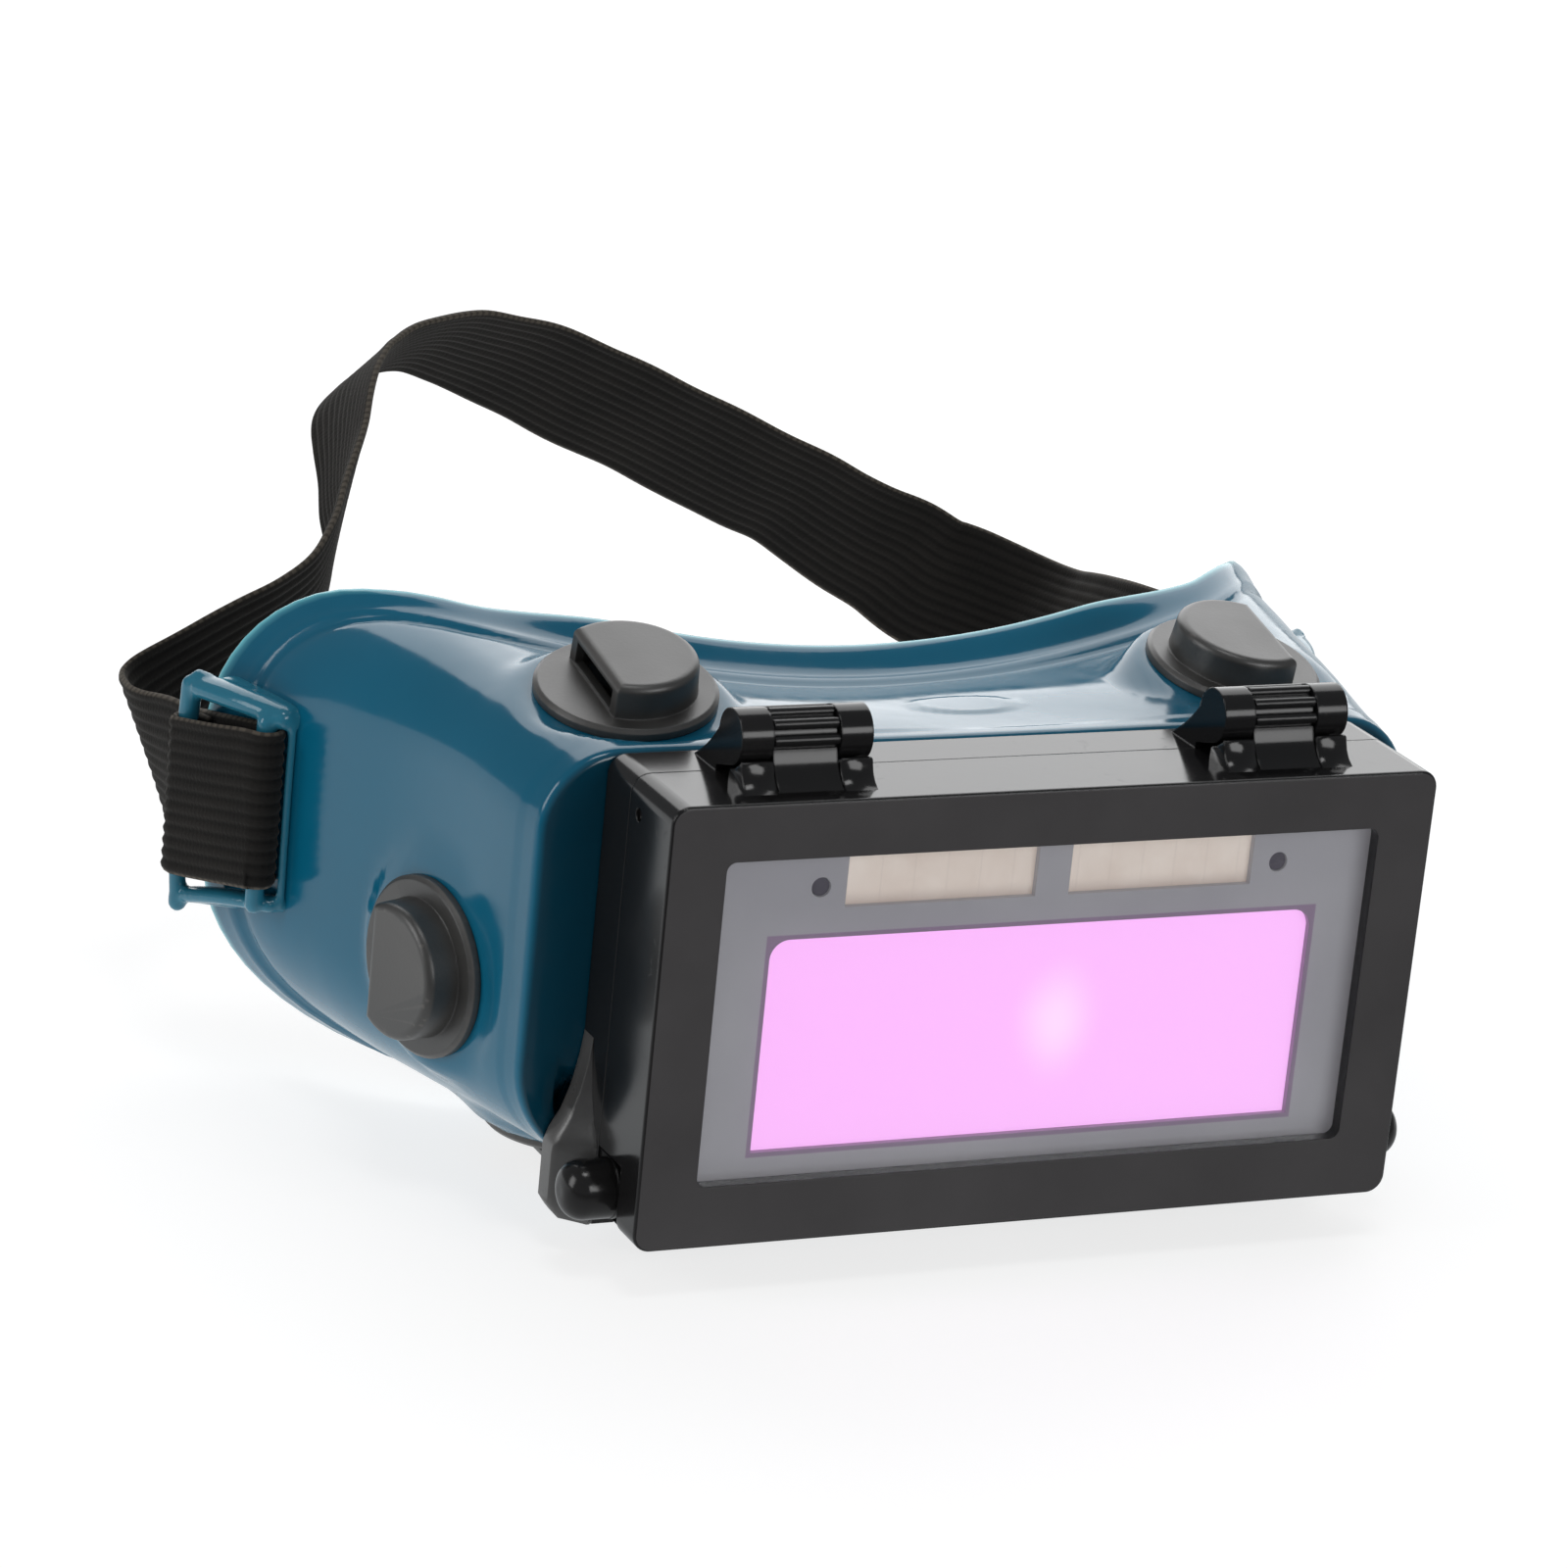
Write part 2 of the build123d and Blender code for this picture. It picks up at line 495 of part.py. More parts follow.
# ----------------------------------------------------------------- soft body
def body_section(y, a, zs, zc, zbs, zbc, rt, rb, grow=0.0):
    """closed section of the soft body at one Y: rounded box with a dipped brow
    and a raised nose arch, as a list of points"""
    pts = []
    n_top, n_cor, n_side, n_bot = 6, 3, 2, 6
    for i in range(n_top):                       # top edge, middle to shoulder
        x = (a - rt) * i / (n_top - 1)
        pts.append((x, zs, 0.0, 1.0))
    for i in range(1, n_cor):
        t = pi / 2 * i / n_cor
        pts.append((a - rt + rt * sin(t), zs - rt + rt * cos(t), sin(t), cos(t)))
    for i in range(n_side):
        f = i / (n_side - 1)
        pts.append((a, (zs - rt) * (1 - f) + (zbs + rb) * f, 1.0, 0.0))
    for i in range(1, n_cor):
        t = pi / 2 * i / n_cor
        pts.append((a - rb + rb * cos(t), zbs + rb - rb * sin(t), cos(t), -sin(t)))
    for i in range(n_bot):
        x = (a - rb) * (1 - i / (n_bot - 1))
        pts.append((x, zbs, 0.0, -1.0))
    half = []
    xs, xn = 0.78 * a, 27.0
    for (x, z, nx, nz) in pts:
        z0 = z
        if nz > 0.5 and x < xs:
            z = z0 - (zs - zc) * (1 - (x / xs) ** 2) ** 1.4
        if nz < -0.5 and x < xn:
            z = z0 + (zbc - zbs) * (1 - (x / xn) ** 2) ** 2
        half.append((x, z))
    # outward growth along the local normal
    full = half + [(-x, z) for (x, z) in reversed(half[1:-1])]
    n = len(full)
    out = []
    for i in range(n):
        x0, z0 = full[i - 1]
        x1, z1 = full[(i + 1) % n]
        tx, tz = x1 - x0, z1 - z0
        l = hypot(tx, tz)
        out.append((full[i][0] - tz / l * -1 * grow * 1.0, full[i][1] + tx / l * grow))
    return out


def lofted(grow, stations):
    """skin solid through polygon sections, kept as separate wires so that
    every section has the same number of edges"""
    wires = []
    for (y, a, zs, zc, zbs, zbc, rt, rb) in stations:
        pts = [Vector(x, y, z) for (x, z) in body_section(y, a, zs, zc, zbs, zbc, rt, rb, grow)]
        wires.append(Wire.make_polygon(pts, close=True))
    return Solid.make_loft(wires, ruled=True)


def plan_cut(offset, back=160.0):
    """everything behind the rear rim curve, moved by offset along Y"""
    right = [(x, y + offset) for (x, y) in rim_plan]
    left = [(-x, y) for (x, y) in reversed(right[1:])]
    with BuildPart() as pc:
        with BuildSketch(Plane.XY.offset(-80)):
            with BuildLine():
                Spline(*(left + right))
                Polyline(right[-1], (right[-1][0], back), (left[0][0], back), left[0])
            make_face()
        extrude(amount=160)
    return pc.part


outer_skin = lofted(0.0, body_stations)
inner_skin = lofted(-skin_t, body_stations[1:-1] + [(118.0,) + tuple(body_stations[-1][1:])])
rim_cut = plan_cut(0.0)


def vent_plane(c, n, x):
    return Plane(origin=c, x_dir=x, z_dir=n)


ct, st = cos(radians(side_tilt)), sin(radians(side_tilt))
tvx, tvy = sin(radians(top_vent_out)), sin(radians(top_vent_fwd))
tvz = (1 - tvx**2 - tvy**2) ** 0.5
vents = {
    "top_left": vent_plane((-top_vent[0], top_vent[1], top_vent[2]), (-tvx, -tvy, tvz), (-tvz, 0, -tvx)),
    "top_right": vent_plane(top_vent, (tvx, -tvy, tvz), (tvz, 0, -tvx)),
    "side_left": vent_plane((-side_vent[0], side_vent[1], side_vent[2]), (-ct, -st, 0), (-st, ct, 0)),
    "side_right": vent_plane(side_vent, (ct, -st, 0), (st, ct, 0)),
    "bottom_left": vent_plane((-bottom_vent[0], bottom_vent[1], bottom_vent[2]), (0, 0, -1), (-1, 0, 0)),
    "bottom_right": vent_plane(bottom_vent, (0, 0, -1), (1, 0, 0)),
}

with BuildPart() as goggle_body:
    add(outer_skin)
    add(rim_cut, mode=Mode.SUBTRACT)
    # strap lugs: upper and lower webs tied by a front and a rear post
    for sx in (-1, 1):
        for (zf, tilt) in ((18.9, 7.0), (-11.2, 10.5)):
            with BuildSketch(Plane(origin=(0, lug_front[1], zf), x_dir=(1, 0, 0), z_dir=(0, sin(radians(tilt)), cos(radians(tilt))))):
                with BuildLine():
                    Polyline(*[(sx * x, y - lug_front[1]) for (x, y) in ((82.0, 79.0), (lug_front[0] - 0.6, 80.6), (lug_front[0] + 1.5, 81.8), (lug_rear[0] + 1.7, 106.0), (lug_rear[0] + 0.6, 108.0), (lug_rear[0] - 1.8, 107.6), (94.2, 102.6), (88.0, 100.5), (82.0, 79.0))])
                make_face()
            extrude(amount=web_t)
        for (cx, cy, r) in ((lug_front[0], lug_front[1], post_r), (lug_rear[0], lug_rear[1], 1.8)):
            with BuildSketch(Plane.XY.offset(-11.4 if r < 1.7 else -16.6)):
                with Locations((sx * cx, cy)):
                    Circle(r)
            extrude(amount=(32.8 if r < 1.7 else 36.0))
    # round seats for the vents
    for pl in vents.values():
        with BuildSketch(pl.offset(-vent_seat_t - 3)):
            Circle(vent_seat_r)
        extrude(amount=vent_seat_t + 3)
    # hollow
    add(inner_skin, mode=Mode.SUBTRACT)
    # flat seat backs inside, then the vent holes
    for pl in vents.values():
        with BuildSketch(pl.offset(-vent_seat_t)):
            Circle(vent_seat_r - 1.0)
        extrude(amount=vent_seat_t)
        with BuildSketch(pl.offset(-vent_seat_t - 8)):
            Circle(vent_neck_r + 2.4)
        extrude(amount=8, mode=Mode.SUBTRACT)
        with BuildSketch(pl.offset(-12)):
            Circle(vent_hole_r)
        extrude(amount=24, mode=Mode.SUBTRACT)
        # nothing of the skin stands above the seat
        with BuildSketch(pl):
            Circle(vent_r + 0.6)
        extrude(amount=7, mode=Mode.SUBTRACT)
    # opening for the housing neck
    with BuildSketch(front_plane(20)):
        RectangleRounded(neck_w + 0.6, neck_h + 0.6, 1.8)
    extrude(amount=12, mode=Mode.SUBTRACT)
    # clearance for the housing's lower corner lugs
    for sx in (-1, 1):
        with BuildSketch(Plane.YZ.offset(sx * 59.8 - 2.1)):
            with Locations((25.0, -28.2)):
                Rectangle(10.4, 18.8)
        extrude(amount=4.2, mode=Mode.SUBTRACT)
body_solid = goggle_body.part.solids().sort_by(SortBy.VOLUME)[-1]
with BuildPart() as goggle_body:
    add(body_solid)
goggle_body.part.label = "goggle_body"
export_step(goggle_body.part, "parts/goggle_body.step")


# --------------------------------------------------------------------- vents
def vent_cap(pl):
    """one-piece push-in vent: flange, D-shaped hood with an open mouth on its
    flat side, hollow neck and a snap flange behind the skin; local +x points
    out of the mouth"""
    with BuildPart() as cap:
        with BuildSketch(pl.offset(0.05)):
            Circle(vent_r)
        extrude(amount=vent_t)
        chamfer(cap.faces().sort_by(Axis(pl.origin, pl.z_dir))[-1].edges(), 0.6)
        with BuildSketch(pl.offset(0.05)):
            Circle(vent_hood_r)
            with Locations((vent_hood_r + 5.6, 0)):
                Rectangle(2 * vent_hood_r, 3 * vent_hood_r, mode=Mode.SUBTRACT)
        extrude(amount=vent_t + vent_hood_h, taper=3)
        fillet(cap.faces().sort_by(Axis(pl.origin, pl.z_dir))[-1].edges(), 1.3)
        # hollow of the hood, open at the flat side
        with BuildSketch(pl.offset(vent_t)):
            Circle(vent_hood_r - 2.4)
            with Locations((vent_hood_r + 4.0, 0)):
                Rectangle(2 * vent_hood_r, 3 * vent_hood_r, mode=Mode.SUBTRACT)
        extrude(amount=vent_hood_h - 1.8, mode=Mode.SUBTRACT)
        with BuildSketch(pl.offset(vent_t + 0.35)):
            with Locations((vent_hood_r / 2, 0)):
                Rectangle(vent_hood_r, 14.0)
        extrude(amount=vent_hood_h - 1.9, mode=Mode.SUBTRACT)
        # neck and snap flange
        with BuildSketch(pl.offset(0.1)):
            Circle(vent_neck_r)
        extrude(amount=-(vent_seat_t + 1.6))
        with BuildSketch(pl.offset(-vent_seat_t - 0.06)):
            Circle(vent_neck_r + 1.5)
        extrude(amount=-1.44)
        with BuildSketch(pl.offset(-vent_seat_t - 4)):
            Circle(vent_neck_r - 1.8)
        extrude(amount=vent_seat_t + 4, mode=Mode.SUBTRACT)
        with BuildSketch(pl.offset(-0.1)):
            Circle(vent_neck_r - 1.8)
            with Locations((vent_hood_r + 4.0, 0)):
                Rectangle(2 * vent_hood_r, 3 * vent_hood_r, mode=Mode.SUBTRACT)
        extrude(amount=vent_t + 0.4, mode=Mode.SUBTRACT)
        # cross baffle in the neck
        with BuildSketch(pl.offset(-vent_seat_t - 1.5)):
            Rectangle(1.2, 2 * vent_neck_r - 2.4)
            Rectangle(2 * vent_neck_r - 2.4, 1.2)
        extrude(amount=1.6)
    return cap


vent_cap_top_left = vent_cap(vents["top_left"])
vent_cap_top_left.part.label = "vent_cap_top_left"
export_step(vent_cap_top_left.part, "parts/vent_cap_top_left.step")
vent_cap_top_right = vent_cap(vents["top_right"])
vent_cap_top_right.part.label = "vent_cap_top_right"
export_step(vent_cap_top_right.part, "parts/vent_cap_top_right.step")
vent_cap_side_left = vent_cap(vents["side_left"])
vent_cap_side_left.part.label = "vent_cap_side_left"
export_step(vent_cap_side_left.part, "parts/vent_cap_side_left.step")
vent_cap_side_right = vent_cap(vents["side_right"])
vent_cap_side_right.part.label = "vent_cap_side_right"
export_step(vent_cap_side_right.part, "parts/vent_cap_side_right.step")
vent_cap_bottom_left = vent_cap(vents["bottom_left"])
vent_cap_bottom_left.part.label = "vent_cap_bottom_left"
export_step(vent_cap_bottom_left.part, "parts/vent_cap_bottom_left.step")
vent_cap_bottom_right = vent_cap(vents["bottom_right"])
vent_cap_bottom_right.part.label = "vent_cap_bottom_right"
export_step(vent_cap_bottom_right.part, "parts/vent_cap_bottom_right.step")

# --------------------------------------------------------------------- strap
# ends: each goes outside the lug's front post, wraps round it and comes back
# inside the first layer
wrap_r = post_r + 0.25 + strap_t / 2
layer = strap_t + 0.3


def end_wrap(sx, zc, ends):
    """centre points round the front post and back along the inner layer"""
    cx, cy = sx * lug_front[0], lug_front[1]
    pts = []
    for k in range(0, 9):
        t = radians(-12 - 168 / 8 * k)
        pts.append((cx + sx * wrap_r * cos(t), cy + wrap_r * sin(t), zc))
    return pts + ends


def ribbon_planes(rows):
    """planes across the webbing: local x along the width, local y through it"""
    planes = []
    n = len(rows)
    for i, (x, y, z, rx, ry, rz) in enumerate(rows):
        a = rows[max(i - 1, 0)]
        b = rows[min(i + 1, n - 1)]
        t = Vector(b[0] - a[0], b[1] - a[1], b[2] - a[2]).normalized()
        r = Vector(rx, ry, rz)
        r = (r - t * r.dot(t)).normalized()
        planes.append(Plane(origin=(x, y, z), x_dir=r, z_dir=t))
    return planes


left_run = strap_stations[:]
strap_rows = []
up = (0, 0, 1)
# left tail end (inner layer), wrap, then the head loop
lz = 5.2
left_inner = [(-(lug_front[0] - wrap_r * 1.0 + 3.0), 97.6), (-(lug_front[0] - wrap_r + 1.2), 91.0)]
strap_rows += [(x, y, lz, 0, 0, 1) for (x, y) in ((-91.6, 100.4), (-89.4, 94.0), (-87.6, 88.6))]
for k in range(9):
    t = radians(-180 + 168 / 8 * k)
    strap_rows.append((-lug_front[0] - wrap_r * cos(t), lug_front[1] + wrap_r * sin(t), lz, 0, 0, 1))
strap_rows += strap_stations
# straight part along the right temple, then the right lug
strap_rows += [(96.2, y, 1.5, 0, 0, 1) for y in (136.0, 124.0, 112.0, 107.0)]
strap_rows += [(95.4, 101.5, 2.6, 0, 0, 1), (93.6, 93.0, 4.3, 0, 0, 1), (92.0, 87.0, 5.2, 0, 0, 1)]
for k in range(9):
    t = radians(-12 - 168 / 8 * k)
    strap_rows.append((lug_front[0] + wrap_r * cos(t), lug_front[1] + wrap_r * sin(t), lz, 0, 0, 1))
strap_rows += [(87.7, 88.6, 5.2, 0, 0, 1), (90.9, 97.0, 3.4, 0, 0, 1), (93.4, 104.0, 1.9, 0, 0, 1), (94.45, 110.0, 1.5, 0, 0, 1), (94.45, 124.0, 1.5, 0, 0, 1), (94.45, 141.0, 1.5, 0, 0, 1)]

with BuildPart() as head_strap:
    for pl in ribbon_planes(strap_rows):
        with BuildSketch(pl):
            Rectangle(strap_w, strap_t)
    loft(ruled=True)
head_strap.part.label = "head_strap"
export_step(head_strap.part, "parts/head_strap.step")

# stepped slider: two end bars outside, a centre bar inside, rails above and below
with BuildPart() as strap_slider:
    xo0, xi0 = 96.2 + strap_t / 2 + 0.15, 94.45 - strap_t / 2 - 0.15
    for s in (-1, 1):
        with BuildSketch(Plane.XY.offset(1.5 + s * (strap_w / 2 + 0.5) - (0 if s > 0 else 2.6))):
            with Locations(((xo0 + xi0) / 2, 118.0)):
                RectangleRounded(xo0 - xi0 + 3.2, 15.0, 1.2)
        extrude(amount=2.6)
    with BuildSketch(Plane.XY.offset(1.5 - strap_w / 2 - 1.0)):
        with Locations((xo0 + 0.8, 112.2), (xo0 + 0.8, 123.8)):
            RectangleRounded(1.6, 3.2, 0.6)
        with Locations((xi0 - 0.8, 118.0)):
            RectangleRounded(1.6, 3.6, 0.6)
    extrude(amount=strap_w + 2.0)
strap_slider.part.label = "strap_slider"
export_step(strap_slider.part, "parts/strap_slider.step")
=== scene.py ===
import bpy, bmesh, math
import numpy as np
from mathutils import Vector, Matrix


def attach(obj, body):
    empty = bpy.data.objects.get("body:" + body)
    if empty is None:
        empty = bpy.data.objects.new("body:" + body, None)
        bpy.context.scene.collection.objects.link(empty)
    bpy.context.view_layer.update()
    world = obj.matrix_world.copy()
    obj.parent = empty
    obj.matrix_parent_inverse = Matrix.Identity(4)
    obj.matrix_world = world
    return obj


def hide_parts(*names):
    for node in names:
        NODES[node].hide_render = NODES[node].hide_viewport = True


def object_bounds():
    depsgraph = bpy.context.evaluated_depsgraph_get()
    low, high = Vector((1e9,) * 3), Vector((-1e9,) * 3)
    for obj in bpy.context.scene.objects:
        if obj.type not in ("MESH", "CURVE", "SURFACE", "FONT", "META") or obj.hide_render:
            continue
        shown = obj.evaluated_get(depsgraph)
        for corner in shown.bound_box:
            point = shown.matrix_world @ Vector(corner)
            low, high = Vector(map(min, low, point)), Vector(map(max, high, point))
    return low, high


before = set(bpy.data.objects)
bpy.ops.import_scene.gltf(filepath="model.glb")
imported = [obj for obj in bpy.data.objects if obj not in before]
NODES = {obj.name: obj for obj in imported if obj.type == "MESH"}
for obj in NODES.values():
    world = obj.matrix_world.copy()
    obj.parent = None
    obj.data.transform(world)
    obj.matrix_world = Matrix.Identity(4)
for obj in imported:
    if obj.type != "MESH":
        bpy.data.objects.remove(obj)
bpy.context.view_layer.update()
S = 0.001  # mm to m


# ------------------------------------------------------------------ node helpers
class Mat:
    def __init__(self, name):
        self.m = bpy.data.materials.new(name)
        self.m.use_nodes = True
        self.t = self.m.node_tree
        self.t.nodes.clear()
        self.out = self.n("ShaderNodeOutputMaterial")

    def n(self, kind, **kw):
        nd = self.t.nodes.new(kind)
        for k, v in kw.items():
            setattr(nd, k, v)
        return nd

    def link(self, a, b):
        self.t.links.new(a, b)

    def put(self, node, **vals):
        for k, v in vals.items():
            s = node.inputs[k.replace("_", " ")] if k.replace("_", " ") in node.inputs else node.inputs[k]
            if hasattr(v, "is_output") or isinstance(v, bpy.types.NodeSocket):
                self.link(v, s)
            else:
                s.default_value = v
        return node

    def math(self, op, a, b=0.0, c=None, clamp=False):
        nd = self.n("ShaderNodeMath", operation=op, use_clamp=clamp)
        for i, v in enumerate((a, b) if c is None else (a, b, c)):
            if isinstance(v, bpy.types.NodeSocket):
                self.link(v, nd.inputs[i])
            else:
                nd.inputs[i].default_value = v
        return nd.outputs[0]

    def mix(self, fac, a, b):
        nd = self.n("ShaderNodeMix", data_type="RGBA")
        for s, v in ((nd.inputs[0], fac), (nd.inputs[6], a), (nd.inputs[7], b)):
            if isinstance(v, bpy.types.NodeSocket):
                self.link(v, s)
            else:
                s.default_value = v if not isinstance(v, tuple) else (*v[:3], 1.0)
        return nd.outputs[2]

    def noise(self, scale, detail=3.0, rough=0.5, vec=None, dist=0.0):
        nd = self.n("ShaderNodeTexNoise")
        nd.inputs["Scale"].default_value = scale
        nd.inputs["Detail"].default_value = detail
        nd.inputs["Roughness"].default_value = rough
        nd.inputs["Distortion"].default_value = dist
        self.link(vec if vec is not None else self.obj(), nd.inputs["Vector"])
        return nd.outputs["Fac"]

    def obj(self):
        if not hasattr(self, "_tc"):
            self._tc = self.n("ShaderNodeTexCoord")
        return self._tc.outputs["Object"]

    def onormal(self):
        self.obj()
        return self._tc.outputs["Normal"]

    def uv(self):
        self.obj()
        return self._tc.outputs["UV"]

    def sep(self, v):
        nd = self.n("ShaderNodeSeparateXYZ")
        self.link(v, nd.inputs[0])
        return nd.outputs

    def ramp(self, fac, stops):
        nd = self.n("ShaderNodeValToRGB")
        self.link(fac, nd.inputs[0])
        el = nd.color_ramp.elements
        while len(el) > 1:
            el.remove(el[-1])
        el[0].position, el[0].color = stops[0][0], (*stops[0][1][:3], 1)
        for p, c in stops[1:]:
            e = el.new(p)
            e.color = (*c[:3], 1)
        return nd.outputs[0]

    def maprange(self, v, a, b, c, d, smooth=False):
        nd = self.n("ShaderNodeMapRange", interpolation_type="SMOOTHSTEP" if smooth else "LINEAR")
        self.link(v, nd.inputs[0])
        for i, x in enumerate((a, b, c, d)):
            nd.inputs[1 + i].default_value = x
        return nd.outputs[0]

    def bump(self, h, strength=0.3, dist=0.0003, normal=None):
        nd = self.n("ShaderNodeBump")
        nd.inputs["Strength"].default_value = strength
        nd.inputs["Distance"].default_value = dist
        self.link(h, nd.inputs["Height"])
        if normal is not None:
            self.link(normal, nd.inputs["Normal"])
        return nd.outputs[0]

    def bevel(self, r):
        nd = self.n("ShaderNodeBevel", samples=4)
        nd.inputs["Radius"].default_value = r
        return nd.outputs[0]

    def bsdf(self, **kw):
        nd = self.n("ShaderNodeBsdfPrincipled")
        for k, v in kw.items():
            s = nd.inputs[k]
            if isinstance(v, bpy.types.NodeSocket):
                self.link(v, s)
            else:
                s.default_value = v if not isinstance(v, tuple) else (*v[:3], 1.0)
        return nd

    def done(self, shader):
        self.link(shader, self.out.inputs[0])
        return self.m


def srgb(r, g, b):
    f = lambda c: (c / 255 / 12.92) if c / 255 <= 0.04045 else ((c / 255 + 0.055) / 1.055) ** 2.4
    return (f(r), f(g), f(b))


# ------------------------------------------------------------------ materials
def black_gloss(name, satin_front=False, r_gloss=0.13, bevel=0.0004):
    m = Mat(name)
    nz = m.noise(38.0, 4, 0.55)
    fine = m.noise(900.0, 2, 0.5)
    col = m.mix(m.maprange(nz, 0.3, 0.7, 0, 1), srgb(19, 19, 20), srgb(27, 26, 26))
    rough = m.maprange(nz, 0.3, 0.7, r_gloss * 0.8, r_gloss * 1.35)
    if satin_front:
        n = m.sep(m.onormal())
        p = m.sep(m.obj())
        front = m.math("MULTIPLY", m.maprange(n[1], -0.93, -0.99, 0, 1), m.maprange(p[1], 0.0012, 0.0006, 0, 1))
        col = m.mix(front, col, m.mix(m.maprange(nz, 0.3, 0.7, 0, 1), srgb(56, 54, 55), srgb(63, 61, 62)))
        rough = m.math("ADD", m.math("MULTIPLY", front, 0.27), rough)
        fine2 = m.math("MULTIPLY", front, fine)
        h = m.math("ADD", m.math("MULTIPLY", nz, 0.5), m.math("MULTIPLY", fine2, 0.35))
    else:
        h = m.math("ADD", m.math("MULTIPLY", nz, 0.5), m.math("MULTIPLY", fine, 0.04))
    bp = m.bump(h, 0.12, 0.0004, m.bevel(bevel))
    scr = m.noise(260.0, 2, 0.7, dist=1.2)
    rough = m.math("ADD", rough, m.maprange(scr, 0.66, 0.72, 0, 0.10))
    b = m.bsdf(**{"Base Color": col, "Roughness": rough, "Normal": bp, "IOR": 1.5, "Specular IOR Level": 0.42})
    return m.done(b.outputs[0])


def black_satin(name, base=(42, 41, 40), convex_edge_tone=(86, 82, 78), rough=0.36):
    m = Mat(name)
    nz = m.noise(55.0, 5, 0.6)
    grain = m.noise(1500.0, 2, 0.6)
    geo = m.n("ShaderNodeNewGeometry")
    # lighter tone on convex edges, picked out by pointiness
    edge = m.maprange(geo.outputs["Pointiness"], 0.52, 0.60, 0, 0.55)
    col = m.mix(m.maprange(nz, 0.3, 0.72, 0, 1), srgb(*base), srgb(base[0] + 12, base[1] + 12, base[2] + 11))
    col = m.mix(edge, col, srgb(*convex_edge_tone))
    h = m.math("ADD", m.math("MULTIPLY", nz, 0.35), m.math("MULTIPLY", grain, 0.22))
    bp = m.bump(h, 0.25, 0.0003, m.bevel(0.0004))
    b = m.bsdf(**{"Base Color": col, "Roughness": m.maprange(nz, 0.25, 0.75, rough - 0.05, rough + 0.1), "Normal": bp, "Specular IOR Level": 0.95})
    return m.done(b.outputs[0])


def pvc(name):
    m = Mat(name)
    nz = m.noise(9.0, 3, 0.5)
    cloud = m.noise(32.0, 4, 0.55)
    fine = m.noise(210.0, 3, 0.5)
    lw = m.n("ShaderNodeLayerWeight")
    lw.inputs[0].default_value = 0.35
    deep = m.mix(m.maprange(nz, 0.32, 0.68, 0, 1), srgb(5, 82, 108), srgb(8, 98, 127))
    # painted sheen: the teal turns lighter at grazing view angles
    col = m.mix(m.maprange(lw.outputs["Facing"], 0.55, 1.0, 0, 0.25), deep, srgb(30, 124, 150))
    # painted glow: thin bright cyan edge where the wall runs out at the rim
    a = m.n("ShaderNodeAttribute", attribute_name="edge_glow")
    col = m.mix(a.outputs["Fac"], col, srgb(120, 205, 215))
    sh = m.n("ShaderNodeAttribute", attribute_name="wall_shade")
    col = m.mix(m.math("MULTIPLY", sh.outputs["Fac"], 0.72), col, srgb(3, 26, 36))
    h = m.math("ADD", m.math("MULTIPLY", cloud, 1.0), m.math("MULTIPLY", fine, 0.06))
    bp = m.bump(h, 0.16, 0.0012)
    b = m.bsdf(**{"Base Color": col, "Roughness": m.maprange(fine, 0.3, 0.7, 0.10, 0.17), "Normal": bp,
                  "Subsurface Weight": 0.06, "Subsurface Scale": 0.004, "IOR": 1.52, "Specular IOR Level": 0.5})
    b.inputs["Subsurface Radius"].default_value = (0.3, 0.9, 1.0)
    return m.done(b.outputs[0])


def clear(name, tint=(0.97, 0.98, 0.99), haze=0.02):
    m = Mat(name)
    tr = m.n("ShaderNodeBsdfTransparent")
    tr.inputs[0].default_value = (*tint, 1)
    gl = m.n("ShaderNodeBsdfGlossy")
    smear = m.noise(30.0, 4, 0.6)
    m.link(m.maprange(smear, 0.4, 0.7, 0.01, 0.05), gl.inputs["Roughness"])
    fr = m.n("ShaderNodeFresnel")
    fr.inputs[0].default_value = 1.45
    mx = m.n("ShaderNodeMixShader")
    m.link(m.math("ADD", m.math("MULTIPLY", fr.outputs[0], 0.55), haze), mx.inputs[0])
    m.link(tr.outputs[0], mx.inputs[1])
    m.link(gl.outputs[0], mx.inputs[2])
    return m.done(mx.outputs[0])


def pink(name):
    m = Mat(name)
    p = m.sep(m.obj())
    dx = m.math("MULTIPLY", m.math("SUBTRACT", p[0], 0.0046), 150.0)
    dz = m.math("MULTIPLY", m.math("SUBTRACT", p[2], -0.0042), 105.0)
    d = m.math("SQRT", m.math("ADD", m.math("POWER", dx, 2.0), m.math("POWER", dz, 2.0)))
    cloud = m.noise(60.0, 3, 0.5)
    d2 = m.math("ADD", d, m.math("MULTIPLY", m.math("SUBTRACT", cloud, 0.5), 0.5))
    # painted glow: a lighter spot round x 4.6 mm, z -4.2 mm
    glow = m.maprange(d2, 1.2, 0.0, 0.0, 0.62, True)
    side = m.maprange(p[0], -0.043, 0.045, 0.0, 1.0)
    base = m.mix(side, srgb(252, 186, 247), srgb(253, 190, 249))
    col = m.mix(glow, base, srgb(255, 232, 253))
    # painted light: the filter emits its own colour at 0.90 and its base colour is dimmed; it is no lamp
    b = m.bsdf(**{"Base Color": col, "Roughness": 0.18, "Emission Color": col, "Emission Strength": 0.90, "Coat Weight": 0.3, "Coat Roughness": 0.05})
    dim = m.mix(0.5, (0, 0, 0), col)
    m.link(m.mix(0.45, (0, 0, 0), col), b.inputs["Base Color"])
    return m.done(b.outputs[0])


